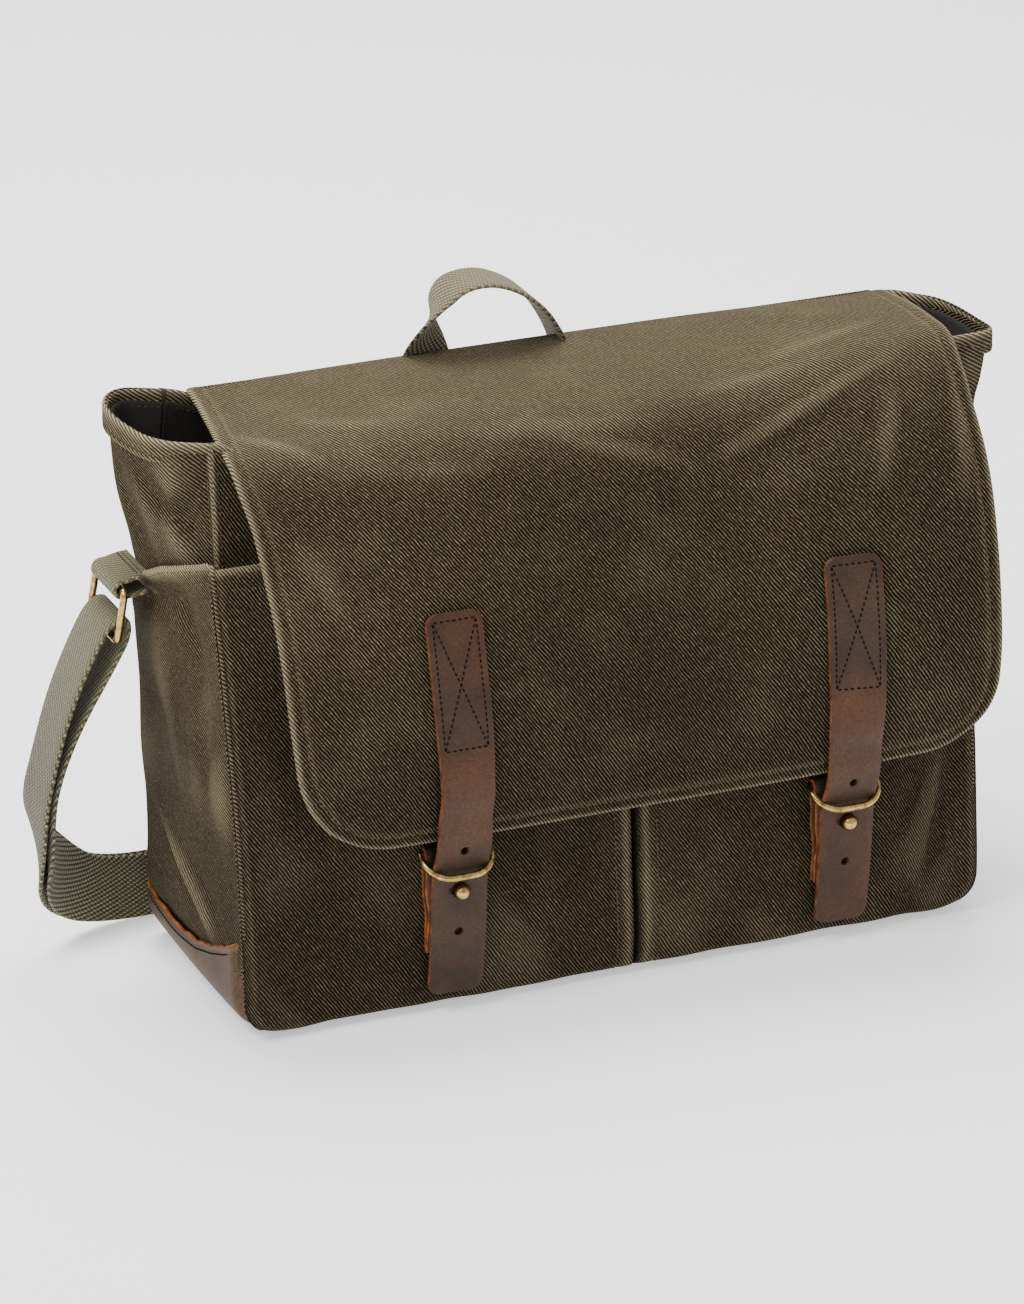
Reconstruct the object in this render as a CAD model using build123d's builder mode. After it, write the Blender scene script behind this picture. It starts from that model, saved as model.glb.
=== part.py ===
from build123d import *

import os
from math import cos, pi, radians, sin, tan

# Waxed canvas messenger bag with a leather base, two strap closures and a webbing shoulder strap.
# Frame: +Z up, the front faces -Y, +X is to the right seen from the front, millimetres.
# The origin is on the underside of the leather base, at the middle of the bag's width.

os.makedirs("parts", exist_ok=True)

# ---------------------------------------------------------------- driving dimensions
BAG_WIDTH = 430.0          # over the pocket seams
RIM_HEIGHT = 308.0         # floor to the mouth
BACK_Y = 79.0              # outer face of the back panel at the floor
CANVAS = 1.6               # one layer of waxed canvas with its backing
LEATHER = 2.2              # base leather
CLOSURE_LEATHER = 2.6      # strap leather
KEEPER_LEATHER = 1.8       # folded keeper leather
WEBBING_WIDTH = 38.0       # shoulder strap and side tabs
HANDLE_WIDTH = 32.0        # grab handle webbing
WEBBING = 2.4              # webbing thickness
FLAP_WIDTH = 394.0
FLAP_SHIFT = 9.0           # the flap hangs a little to the right of the bag's middle
FLAP_SHEET = 2.4           # canvas, interlining and hem allowance
FLAP_LINING = 0.6
STRAP_MIDDLE = 12.0        # halfway between the two closure straps
STRAP_SPACING = 224.0
STRAP_WIDTH = 32.0
KEEPER_WIDTH = 27.0
KEEPER_SHIFT = 3.0         # keepers, seen against the middle of the bag
HEM_DEPTH = 12.0           # folded hem round the mouth
BASE_CORNER = 26.0         # radius of the lower corners, seen from the front
BASE_HALF = BAG_WIDTH / 2 + 2.8
RIM_SLOPE = 0.1217         # the mouth falls towards the front, under the flap
TRAY_GAP = 0.1             # between the leather base and what stands in it
HEM_LAYER = 0.4            # how far the mouth's hem stands out on each face

# Rows of the bag's outline: height, back face, front face, half width at the seams, side bulge
MAIN_ROWS = (
    (2.4, BACK_Y, -46.0, 212.4, 0.4),
    (60.0, BACK_Y, -42.0, 212.6, 0.6),
    (130.0, BACK_Y, -35.0, 212.8, 2.5),
    (205.0, BACK_Y, -24.0, 212.0, 7.0),
    (256.0, 77.2, -11.0, 208.0, 16.0),
    (RIM_HEIGHT, 75.0, 6.0, 203.0, 31.0),
)
POCKET_ROWS = (
    (2.4, BACK_Y, -60.0, BAG_WIDTH / 2 - 1.0, 0.6),
    (60.0, BACK_Y, -64.0, BAG_WIDTH / 2 - 0.4, 0.8),
    (130.0, BACK_Y, -57.0, BAG_WIDTH / 2, 6.0),
    (205.0, BACK_Y, -41.0, BAG_WIDTH / 2 + 0.5, 12.0),
    (256.0, 77.4, -29.0, BAG_WIDTH / 2 + 0.5, 15.0),
)

# Flap sheet, seen from the side: a straight top, a rounded crease, a straight and a long arc
HINGE = (77.5, 310.5)      # y, z of the line where the flap is sewn to the back panel
TOP_SLOPE = 7.0            # degrees below level
TOP_LENGTH = 80.0
CREASE_RADIUS = 38.0
FRONT_SLOPE = 68.0
FRONT_STRAIGHT = 20.0
FRONT_RADIUS = 430.0
HEM_SLOPE = 89.6
CREASE_GAP = 13.0          # degrees left free each side of the crease axis
FLAP_CORNER = 50.0

# Closures
RING_AXIS = (-68.5, 92.0)  # y, z of the closure ring's straight bar
RING_WIRE = 1.9            # wire radius
RING_HALF = 19.2
RING_DROP = 17.0
RING_CORNER = 14.0
RING_TILT = 55.0           # degrees forward from hanging straight down
RING_GAP = 0.2             # between a closure ring's bar and its keeper
TAIL_GAP = 0.3             # between a keeper and the strap tail in front of it
STUD_Z = 72.0
STUD_HEAD = 4.2            # radii of the stud's ball, neck and flange
STUD_NECK = 2.1
STUD_FLANGE = 4.0
FLANGE_THICKNESS = 1.2
HEAD_STAND = 6.6           # from the keeper's face out to the ball's middle
KEEPER_BOTTOM = 40.0
SPARE_HOLE = 2.6           # radius of the tail's spare hole
SPARE_DROP = 24.0          # and how far below the stud it is punched
TAIL_BOTTOM = 12.0
TAIL_TOP = 88.5
STRAP_TOP_SLOPE = 74.0
STRAP_END_SLOPE = 89.4

# Side rings
TAB_Y = 52.0
TAB_AXIS = (-244.0, 222.0)  # x, z of the side ring's upper bar, left side
SIDE_WIRE = 2.0
SIDE_RING_DROP = 27.0
SIDE_RING_TILT = 10.0       # degrees outward

# Grab handle
HANDLE_AXIS = (80.4, 300.0)
HANDLE_MIDDLE = -12.0
HANDLE_HALF = 45.0
HANDLE_TOP = 355.0

# Shoulder strap: routes of the free webbing, left ring to slider and slider to right ring
STRAP_TUBE = 5.2            # radius with the webbing's own cross-section area
LEFT_ROUTE = (
    (-248.7, 52.0, 183.2),
    (-248.7, 52.0, 170.0),
    (-261.0, 52.5, 149.0),
    (-274.0, 56.0, 119.0),
    (-280.0, 63.0, 86.0),
    (-275.0, 77.0, 54.0),
    (-258.0, 93.0, 29.0),
    (-232.0, 100.0, 20.0),
    (-196.0, 101.0, 19.0),
    (-150.0, 108.0, 19.0),
    (-96.0, 127.0, 19.0),
    (-40.0, 141.0, 19.0),
)
RIGHT_ROUTE = (
    (-40.0, 141.0, 19.0),
    (16.0, 155.0, 19.0),
    (92.0, 168.0, 19.0),
    (158.0, 162.0, 19.0),
    (208.0, 146.0, 22.0),
    (237.0, 124.0, 35.0),
    (249.0, 101.0, 60.0),
    (252.0, 80.0, 92.0),
    (251.0, 64.0, 124.0),
    (250.0, 55.0, 152.0),
    (248.7, 52.0, 170.0),
    (248.7, 52.0, 183.2),
)


# ---------------------------------------------------------------- helpers
def save(piece, name):
    """Label a finished piece and write it as one STEP file."""
    piece.part.label = name
    export_step(piece.part, f"parts/{name}.step")


def down(slope):
    """Unit vector (y, z) square to a sheet that slopes down to the front, pointing under it."""
    return sin(radians(slope)), -cos(radians(slope))


def along(slope):
    """Unit vector (y, z) along a sheet that slopes down to the front."""
    return -cos(radians(slope)), -sin(radians(slope))


def shifted(point, direction, distance):
    """Point moved by a distance along a direction, both as pairs."""
    return point[0] + direction[0] * distance, point[1] + direction[1] * distance


TOP_END = shifted(HINGE, along(TOP_SLOPE), TOP_LENGTH)
CREASE_CENTRE = shifted(TOP_END, down(TOP_SLOPE), CREASE_RADIUS)
CREASE_SLOPE = (TOP_SLOPE + FRONT_SLOPE) / 2
CREASE_END = shifted(CREASE_CENTRE, down(FRONT_SLOPE), -CREASE_RADIUS)
CREASE_AXIS = shifted(CREASE_CENTRE, down(CREASE_SLOPE), -CREASE_RADIUS)
FRONT_START = shifted(CREASE_END, along(FRONT_SLOPE), FRONT_STRAIGHT)
FRONT_CENTRE = shifted(FRONT_START, down(FRONT_SLOPE), FRONT_RADIUS)


def crease_point(slope, raised):
    """Point of the crease at a slope, raised above the sheet's middle surface."""
    return shifted(CREASE_CENTRE, down(slope), -CREASE_RADIUS - raised)


def front_point(slope, raised):
    """Point of the flap's long front arc at a slope, raised above the middle surface."""
    return shifted(FRONT_CENTRE, down(slope), -FRONT_RADIUS - raised)


def outline(row, grow):
    """Outline of the bag at one height, grown outward: straight front and back, bowed sides."""
    height, back, front, half, bulge = row
    back = back + grow
    front = front - grow
    half = half + grow
    middle = (back + front) / 2
    with BuildSketch(Plane.XY.offset(height)) as face:
        with BuildLine():
            Line((-half, back), (half, back))
            ThreePointArc((half, back), (half + bulge, middle), (half, front))
            Line((half, front), (-half, front))
            ThreePointArc((-half, front), (-half - bulge, middle), (-half, back))
        make_face()
    return face.sketch


def tub(rows, grow):
    """Ruled loft through rows of the bag's outline, grown outward."""
    with BuildPart() as solid:
        loft([outline(row, grow) for row in rows], ruled=True)
    return solid.part


def front_prism(points, near, far):
    """Prism of a polygon drawn in x and z, between two y values."""
    with BuildPart() as solid:
        with BuildSketch(Plane.XZ.offset(-far)):
            with BuildLine():
                Polyline(*points, close=True)
            make_face()
        extrude(amount=far - near)
    return solid.part


def side_prism(points, half):
    """Prism of a polygon drawn in y and z, through the whole width."""
    with BuildPart() as solid:
        with BuildSketch(Plane.YZ.offset(-half)):
            with BuildLine():
                Polyline(*points, close=True)
            make_face()
        extrude(amount=2 * half)
    return solid.part


def inside_base():
    """Prism of the space inside the leather base, open upward and flared above it."""
    half = BASE_HALF - LEATHER - TRAY_GAP
    floor = LEATHER + TRAY_GAP
    radius = BASE_CORNER - LEATHER - TRAY_GAP
    level = floor + radius
    with BuildPart() as solid:
        with BuildSketch(Plane.XZ.offset(-BACK_Y - 10)):
            with BuildLine():
                Line((radius - half, floor), (half - radius, floor))
                ThreePointArc(
                    (half - radius, floor),
                    (half - radius * (1 - sin(radians(45))), level - radius * cos(radians(45))),
                    (half, level),
                )
                Polyline((half, level), (half, 60), (half + 40, 120), (half + 40, 400))
                Polyline((half + 40, 400), (-half - 40, 400), (-half - 40, 120), (-half, 60))
                Line((-half, 60), (-half, level))
                ThreePointArc(
                    (-half, level),
                    (radius * (1 - sin(radians(45))) - half, level - radius * cos(radians(45))),
                    (radius - half, floor),
                )
            make_face()
        extrude(amount=2 * BACK_Y + 20)
    return solid.part


def above_rim(lower):
    """Prism of everything above the sloping rim, lowered by a distance."""
    back_z = RIM_HEIGHT + 25 * RIM_SLOPE - lower
    front_z = RIM_HEIGHT - 175 * RIM_SLOPE - lower
    return side_prism([(-100, front_z), (100, back_z), (100, 450), (-100, 450)], 300)


# ---------------------------------------------------------------- canvas shells
SEAM_LOW = MAIN_ROWS[0][3]   # half width between the side seams at the floor
SEAM_HIGH = MAIN_ROWS[-1][3]  # and at the mouth
SEAM_WEDGE = [(-SEAM_LOW, 0), (SEAM_LOW, 0), (SEAM_HIGH, RIM_HEIGHT), (-SEAM_HIGH, RIM_HEIGHT)]
MID_Y = 18.0                 # a plane inside the bag, between the front and the back
FRONT_LIMIT = -90.0          # a plane in front of the bag
SIDE_LIMIT = 260.0           # a plane beyond the bag's ends

with BuildPart() as main_shell:
    add(tub(MAIN_ROWS, 0))
    add(tub(MAIN_ROWS, -CANVAS), mode=Mode.SUBTRACT)
    add(above_rim(HEM_DEPTH), mode=Mode.SUBTRACT)
    add(inside_base(), mode=Mode.INTERSECT)

with BuildPart() as back_panel:
    add(main_shell.part)
    add(front_prism(SEAM_WEDGE, MID_Y, BACK_Y + 5), mode=Mode.INTERSECT)
save(back_panel, "back_panel")

with BuildPart() as front_panel:
    add(main_shell.part)
    add(front_prism(SEAM_WEDGE, FRONT_LIMIT, MID_Y), mode=Mode.INTERSECT)
save(front_panel, "front_panel")

for side, name in ((-1, "left_gusset"), (1, "right_gusset")):
    with BuildPart() as gusset:
        add(main_shell.part)
        side_wedge = [
            (side * SEAM_LOW, 0),
            (side * SIDE_LIMIT, 0),
            (side * SIDE_LIMIT, RIM_HEIGHT),
            (side * SEAM_HIGH, RIM_HEIGHT),
        ]
        add(front_prism(side_wedge, FRONT_LIMIT, BACK_Y + 5), mode=Mode.INTERSECT)
    save(gusset, name)

with BuildPart() as mouth_hem:
    add(tub(MAIN_ROWS[-2:], HEM_LAYER))
    add(tub(MAIN_ROWS[-2:], -CANVAS - HEM_LAYER), mode=Mode.SUBTRACT)
    add(above_rim(0), mode=Mode.SUBTRACT)
    add(above_rim(HEM_DEPTH), mode=Mode.INTERSECT)
save(mouth_hem, "mouth_hem")

BOARD = 2.5
BOARD_LIFT = 0.6             # clear of the leather
BOARD_Y = 16.5               # middle of the board and of the lining's floor
with BuildPart() as base_board:
    with BuildSketch(Plane.XY.offset(LEATHER + BOARD_LIFT)):
        with Locations((0, BOARD_Y)):
            RectangleRounded(376, 118, 12)
    extrude(amount=BOARD)
save(base_board, "base_board")

LINING_GAP = 1.0
LINING = 0.6
LINING_FLOOR = LEATHER + BOARD + 1.4
with BuildPart() as lining:
    add(tub(MAIN_ROWS, -CANVAS - LINING_GAP))
    add(tub(MAIN_ROWS, -CANVAS - LINING_GAP - LINING), mode=Mode.SUBTRACT)
    with BuildSketch(Plane.XY.offset(LINING_FLOOR)):
        with Locations((0, BOARD_Y)):
            Rectangle(2 * (SEAM_LOW - BASE_CORNER), 119)
    extrude(amount=LINING)
    add(above_rim(HEM_DEPTH), mode=Mode.SUBTRACT)
    add(inside_base(), mode=Mode.INTERSECT)
    split(bisect_by=Plane.XY.offset(LINING_FLOOR), keep=Keep.TOP)
save(lining, "lining")

# ---------------------------------------------------------------- pockets, side panels and base
POCKET_TOP = 252.0
SLIT_HALF = 2.0
ABOVE_POCKETS = [
    (FRONT_LIMIT, POCKET_TOP), (-24, POCKET_TOP), (14, 239), (50, 222), (90, 203),
    (90, 300), (FRONT_LIMIT, 300),
]

with BuildPart() as pocket_shell:
    add(tub(POCKET_ROWS, 0))
    add(tub(POCKET_ROWS, -CANVAS), mode=Mode.SUBTRACT)
    add(inside_base(), mode=Mode.INTERSECT)
    add(side_prism(ABOVE_POCKETS, 300), mode=Mode.SUBTRACT)

POCKET_SEAM = BAG_WIDTH / 2 - 1.2
for side, name in ((-1, "left_pocket"), (1, "right_pocket")):
    with BuildPart() as pocket:
        add(pocket_shell.part)
        inner = side * SLIT_HALF
        outer = side * POCKET_SEAM
        span = [(inner, 0), (outer, 0), (outer, 300), (inner, 300)]
        front_part = front_prism(span, FRONT_LIMIT, 10)
        add(front_part, mode=Mode.INTERSECT)
        with BuildSketch(Plane.YZ.offset(inner if side > 0 else inner - CANVAS)):
            with BuildLine():
                Polyline(
                    (-59.0, 3.0), (-62.8, 60.0), (-55.8, 130.0), (-39.8, 205.0), (-29.0, POCKET_TOP),
                    (-13.0, POCKET_TOP), (-24.6, 205.0), (-35.6, 130.0), (-42.6, 60.0), (-46.4, 3.0),
                    close=True,
                )
            make_face()
        extrude(amount=CANVAS)
    save(pocket, name)

for side, name in ((-1, "left_side_panel"), (1, "right_side_panel")):
    with BuildPart() as side_panel:
        add(pocket_shell.part)
        low = side * POCKET_SEAM
        high = side * SIDE_LIMIT
        side_part = front_prism([(low, 0), (high, 0), (high, 300), (low, 300)], FRONT_LIMIT, BACK_Y + 5)
        add(side_part, mode=Mode.INTERSECT)
    save(side_panel, name)

BASE_TOP = 62.0


def base_profile(half, floor, radius, top):
    """Half-open tray outline, seen from the front, as a closed face with rounded lower corners."""
    level = floor + radius
    slant = radius * (1 - sin(radians(45)))
    with BuildSketch() as face:
        with BuildLine():
            Line((radius - half, floor), (half - radius, floor))
            ThreePointArc((half - radius, floor), (half - slant, floor + slant), (half, level))
            Polyline((half, level), (half, top), (-half, top), (-half, level))
            ThreePointArc((-half, level), (slant - half, floor + slant), (radius - half, floor))
        make_face()
    return face.sketch


with BuildPart() as base_leather:
    with BuildSketch(Plane.XZ.offset(-BACK_Y)):
        add(base_profile(BASE_HALF, 0, BASE_CORNER, BASE_TOP))
        add(base_profile(BASE_HALF - LEATHER, LEATHER, BASE_CORNER - LEATHER, BASE_TOP), mode=Mode.SUBTRACT)
    extrude(amount=BACK_Y + 64)
    with BuildSketch(Plane.YZ.offset(-300)):
        with BuildLine():
            ThreePointArc((-64, 56), (14, 29.5), (BACK_Y, 38))
            Polyline((BACK_Y, 38), (BACK_Y, 80), (-64, 80), (-64, 56))
        make_face()
    extrude(amount=600, mode=Mode.SUBTRACT)
save(base_leather, "base_leather")

# ---------------------------------------------------------------- flap
FLAP_LEFT = FLAP_SHIFT - FLAP_WIDTH / 2
FLAP_RIGHT = FLAP_SHIFT + FLAP_WIDTH / 2


def top_sheet(above, below):
    """Side view of the flap's top between two offsets from its middle surface."""
    start = shifted(HINGE, along(TOP_SLOPE), 2.5)
    end = CREASE_SLOPE - CREASE_GAP
    middle = (TOP_SLOPE + end) / 2
    with BuildSketch() as face:
        with BuildLine():
            Line(shifted(start, down(TOP_SLOPE), -above), crease_point(TOP_SLOPE, above))
            top_arc = [crease_point(slope, above) for slope in (TOP_SLOPE, middle, end)]
            ThreePointArc(*top_arc)
            Line(crease_point(end, above), crease_point(end, below))
            under_arc = [crease_point(slope, below) for slope in (end, middle, TOP_SLOPE)]
            ThreePointArc(*under_arc)
            Line(crease_point(TOP_SLOPE, below), shifted(start, down(TOP_SLOPE), -below))
            Line(shifted(start, down(TOP_SLOPE), -below), shifted(start, down(TOP_SLOPE), -above))
        make_face()
    return face.sketch


def front_sheet(above, below, hem):
    """Side view of the flap's front between two offsets from its middle surface."""
    start = CREASE_SLOPE + CREASE_GAP
    bend = (start + FRONT_SLOPE) / 2
    middle = (FRONT_SLOPE + hem) / 2
    with BuildSketch() as face:
        with BuildLine():
            top_arc = [crease_point(slope, above) for slope in (start, bend, FRONT_SLOPE)]
            ThreePointArc(*top_arc)
            Line(crease_point(FRONT_SLOPE, above), front_point(FRONT_SLOPE, above))
            outer_arc = [front_point(slope, above) for slope in (FRONT_SLOPE, middle, hem)]
            ThreePointArc(*outer_arc)
            Line(front_point(hem, above), front_point(hem, below))
            inner_arc = [front_point(slope, below) for slope in (hem, middle, FRONT_SLOPE)]
            ThreePointArc(*inner_arc)
            Line(front_point(FRONT_SLOPE, below), crease_point(FRONT_SLOPE, below))
            under_arc = [crease_point(slope, below) for slope in (FRONT_SLOPE, bend, start)]
            ThreePointArc(*under_arc)
            Line(crease_point(start, below), crease_point(start, above))
        make_face()
    return face.sketch


def flap_outline(inset, hem_z):
    """Prism of the flap's outline, with two rounded lower corners."""
    left = FLAP_LEFT + inset
    right = FLAP_RIGHT - inset
    radius = FLAP_CORNER - inset
    with BuildPart() as solid:
        with BuildSketch(Plane.XZ.offset(-60)):
            with BuildLine():
                Line((left, 400), (left, hem_z + radius))
                RadiusArc((left, hem_z + radius), (left + radius, hem_z), -radius)
                Line((left + radius, hem_z), (right - radius, hem_z))
                RadiusArc((right - radius, hem_z), (right, hem_z + radius), -radius)
                Line((right, hem_z + radius), (right, 400))
                Line((right, 400), (left, 400))
            make_face()
        extrude(amount=200)
    return solid.part


HEM_LEVEL = front_point(HEM_SLOPE, 0)[1]
HALF_SHEET = FLAP_SHEET / 2
LINING_INSET = 4.0          # the flap's lining stops short of its sides and hem

with BuildPart() as flap_top:
    with BuildSketch(Plane.YZ.offset(FLAP_LEFT)):
        add(top_sheet(HALF_SHEET, FLAP_LINING - HALF_SHEET))
    extrude(amount=FLAP_WIDTH)
save(flap_top, "flap_top")

with BuildPart() as flap_top_lining:
    with BuildSketch(Plane.YZ.offset(FLAP_LEFT + LINING_INSET)):
        add(top_sheet(FLAP_LINING - HALF_SHEET, -HALF_SHEET))
    extrude(amount=FLAP_WIDTH - 2 * LINING_INSET)
save(flap_top_lining, "flap_top_lining")

with BuildPart() as flap_front:
    with BuildSketch(Plane.YZ.offset(FLAP_LEFT)):
        add(front_sheet(HALF_SHEET, FLAP_LINING - HALF_SHEET, HEM_SLOPE))
    extrude(amount=FLAP_WIDTH)
    add(flap_outline(0, HEM_LEVEL), mode=Mode.INTERSECT)
save(flap_front, "flap_front")

with BuildPart() as flap_front_lining:
    with BuildSketch(Plane.YZ.offset(FLAP_LEFT + LINING_INSET)):
        add(front_sheet(FLAP_LINING - HALF_SHEET, -HALF_SHEET, HEM_SLOPE - 0.8))
    extrude(amount=FLAP_WIDTH - 2 * LINING_INSET)
    add(flap_outline(LINING_INSET, HEM_LEVEL + LINING_INSET), mode=Mode.INTERSECT)
save(flap_front_lining, "flap_front_lining")

SEAM_FACE = 76.4            # y of the seam strip's inner face
SEAM_MIDDLE = 296.5         # z of its middle
SEAM_HEIGHT = 19.0
SEAM_STRIP = 2.0
with BuildPart() as flap_seam:
    with BuildSketch(Plane.XZ.offset(-SEAM_FACE)):
        with Locations((FLAP_SHIFT, SEAM_MIDDLE)):
            Rectangle(FLAP_WIDTH, SEAM_HEIGHT)
    extrude(amount=-SEAM_STRIP)
save(flap_seam, "flap_seam")

# ---------------------------------------------------------------- closure straps, keepers and rings
LEFT_STRAP = STRAP_MIDDLE - STRAP_SPACING / 2
RIGHT_STRAP = STRAP_MIDDLE + STRAP_SPACING / 2
KEEPER_FACE = RING_AXIS[0] - RING_WIRE - RING_GAP - KEEPER_LEATHER
STRAP_FACE = KEEPER_FACE - TAIL_GAP


def closure_strap(middle, name):
    """Upper part of a closure strap, sewn to the flap's front."""
    above = HALF_SHEET + CLOSURE_LEATHER
    low = (STRAP_TOP_SLOPE + STRAP_END_SLOPE) / 2
    top_z = front_point(STRAP_TOP_SLOPE, 0)[1]
    with BuildPart() as strap:
        with BuildSketch(Plane.YZ.offset(middle - STRAP_WIDTH / 2)):
            with BuildLine():
                slopes = (STRAP_TOP_SLOPE, low, STRAP_END_SLOPE)
                outer_arc = [front_point(slope, above) for slope in slopes]
                ThreePointArc(*outer_arc)
                Line(front_point(STRAP_END_SLOPE, above), front_point(STRAP_END_SLOPE, HALF_SHEET))
                inner_arc = [front_point(slope, HALF_SHEET) for slope in reversed(slopes)]
                ThreePointArc(*inner_arc)
                Line(front_point(STRAP_TOP_SLOPE, HALF_SHEET), front_point(STRAP_TOP_SLOPE, above))
            make_face()
        extrude(amount=STRAP_WIDTH)
        with BuildSketch(Plane.XZ.offset(20)):
            with Locations((middle, top_z - 100)):
                RectangleRounded(STRAP_WIDTH, 200, 5)
            with Locations((middle, top_z - 160)):
                Rectangle(STRAP_WIDTH, 120)
        extrude(amount=100, mode=Mode.INTERSECT)
    save(strap, name)


def strap_tail(middle, name):
    """Free end of a closure strap, threaded through the ring and punched for the stud."""
    length = TAIL_TOP - TAIL_BOTTOM
    with BuildPart() as tail:
        with BuildSketch(Plane.XZ.offset(-STRAP_FACE)):
            with Locations((middle, TAIL_BOTTOM + length / 2)):
                RectangleRounded(STRAP_WIDTH, length, 8)
            with Locations((middle, TAIL_TOP - 10)):
                Rectangle(STRAP_WIDTH, 20)
            with Locations((middle, STUD_Z)):
                Circle(STUD_HEAD + 0.5, mode=Mode.SUBTRACT)
            with Locations((middle, STUD_Z - SPARE_DROP)):
                Circle(SPARE_HOLE, mode=Mode.SUBTRACT)
        extrude(amount=CLOSURE_LEATHER)
    save(tail, name)


def keeper(middle, stud_x, name):
    """Leather tab folded round the ring's bar and sewn to the pocket, punched for the stud."""
    inner = RING_WIRE + RING_GAP
    outer = inner + KEEPER_LEATHER
    y, z = RING_AXIS
    bottom = KEEPER_BOTTOM
    with BuildPart() as tab:
        with BuildSketch(Plane.YZ.offset(middle - KEEPER_WIDTH / 2)):
            with BuildLine():
                Line((y + outer, bottom), (y + outer, z))
                ThreePointArc((y + outer, z), (y, z + outer), (y - outer, z))
                Polyline((y - outer, z), (y - outer, 58), (y + inner - 2, 46), (y + inner - 2, bottom))
                Line((y + inner - 2, bottom), (y + outer, bottom))
            make_face()
            with BuildLine():
                Line((y + inner, 50), (y + inner, z))
                ThreePointArc((y + inner, z), (y, z + inner), (y - inner, z))
                Polyline((y - inner, z), (y - inner, 59), (y + inner, 50))
            make_face(mode=Mode.SUBTRACT)
        extrude(amount=KEEPER_WIDTH)
        with BuildSketch(Plane.XZ.offset(-y)):
            with Locations((stud_x, STUD_Z)):
                Circle(STUD_NECK + 0.1)
        extrude(amount=10, mode=Mode.SUBTRACT)
    save(tab, name)


def stud(x, name):
    """Screw-back stud: flange behind the keeper's front layer, neck, and ball head."""
    back = KEEPER_FACE + KEEPER_LEATHER + FLANGE_THICKNESS
    flange = Plane(origin=(x, back, STUD_Z), z_dir=(0, -1, 0))
    with BuildPart() as piece:
        with BuildSketch(flange):
            Circle(STUD_FLANGE)
        extrude(amount=FLANGE_THICKNESS)
        with BuildSketch(flange):
            Circle(STUD_NECK)
        extrude(amount=FLANGE_THICKNESS + KEEPER_LEATHER + HEAD_STAND - STUD_HEAD / 2)
        with Locations((x, KEEPER_FACE - HEAD_STAND, STUD_Z)):
            Sphere(STUD_HEAD)
    save(piece, name)


def closure_ring(x, name):
    """D-shaped wire ring: straight bar in the keeper, bow hanging forward over the strap."""
    y, z = RING_AXIS
    facing = (0, -cos(radians(RING_TILT)), sin(radians(RING_TILT)))
    bow_plane = Plane(origin=(x, y, z), x_dir=(1, 0, 0), z_dir=facing)
    with BuildPart() as ring:
        with BuildLine(bow_plane):
            corners = ((-RING_HALF, 0), (-RING_HALF, -RING_DROP), (RING_HALF, -RING_DROP), (RING_HALF, 0))
            bow = FilletPolyline(*corners, radius=RING_CORNER)
        with BuildSketch(Plane(origin=bow @ 0, z_dir=bow % 0)):
            Circle(RING_WIRE)
        sweep(path=bow)
        with BuildSketch(Plane.YZ.offset(x - RING_HALF)):
            with Locations((y, z)):
                Circle(RING_WIRE)
        extrude(amount=2 * RING_HALF)
        with Locations((x - RING_HALF, y, z), (x + RING_HALF, y, z)):
            Sphere(RING_WIRE)
    save(ring, name)


for strap_x, keeper_x, side in (
    (LEFT_STRAP, LEFT_STRAP - KEEPER_SHIFT, "left"),
    (RIGHT_STRAP, RIGHT_STRAP - KEEPER_SHIFT, "right"),
):
    closure_strap(strap_x, f"{side}_strap")
    strap_tail(strap_x, f"{side}_strap_tail")
    keeper(keeper_x, strap_x, f"{side}_keeper")
    stud(strap_x, f"{side}_stud")
    closure_ring(strap_x, f"{side}_closure_ring")

# ---------------------------------------------------------------- side tabs, rings and strap ends
TAB_WIDTH = 37.0
TAB_ROOT = 229.0


def side_tab(side, name):
    """Webbing tab folded over the side ring's upper bar and sewn into the side seam."""
    x, z = TAB_AXIS
    inner = SIDE_WIRE + 0.3
    outer = inner + WEBBING
    with BuildPart() as tab:
        with BuildSketch(Plane.XZ.offset(-TAB_Y - TAB_WIDTH / 2)):
            with BuildLine():
                Line((side * -TAB_ROOT, z + outer), (side * x, z + outer))
                ThreePointArc((side * x, z + outer), (side * (x - outer), z), (side * x, z - outer))
                Line((side * x, z - outer), (side * -TAB_ROOT, z - outer))
                Line((side * -TAB_ROOT, z - outer), (side * -TAB_ROOT, z - inner))
                Line((side * -TAB_ROOT, z - inner), (side * x, z - inner))
                ThreePointArc((side * x, z - inner), (side * (x - inner), z), (side * x, z + inner))
                Line((side * x, z + inner), (side * -TAB_ROOT, z + inner))
                Line((side * -TAB_ROOT, z + inner), (side * -TAB_ROOT, z + outer))
            make_face()
        extrude(amount=TAB_WIDTH)
    save(tab, name)


def lower_bar(side):
    """Centre of the side ring's lower bar, x and z."""
    x, z = TAB_AXIS
    tilt = radians(SIDE_RING_TILT)
    return side * (x - SIDE_RING_DROP * sin(tilt)), z - SIDE_RING_DROP * cos(tilt)


def side_ring(side, name):
    """Rectangular wire ring that hangs from the tab and carries the shoulder strap."""
    x, z = TAB_AXIS
    half = WEBBING_WIDTH / 2 + 0.8 + SIDE_WIRE
    tilt = radians(SIDE_RING_TILT)
    hang = (side * -sin(tilt), 0, -cos(tilt))
    facing = Vector(0, 1, 0).cross(Vector(hang))
    ring_plane = Plane(origin=(side * x, TAB_Y, z), x_dir=(0, 1, 0), z_dir=facing)
    with BuildPart() as ring:
        with BuildLine(ring_plane):
            corners = ((half, 0), (half, SIDE_RING_DROP), (-half, SIDE_RING_DROP), (-half, 0))
            loop = FilletPolyline(*corners, radius=3.0, close=True)
        with BuildSketch(Plane(origin=loop @ 0, z_dir=loop % 0)):
            Circle(SIDE_WIRE)
        sweep(path=loop)
    save(ring, name)


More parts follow.
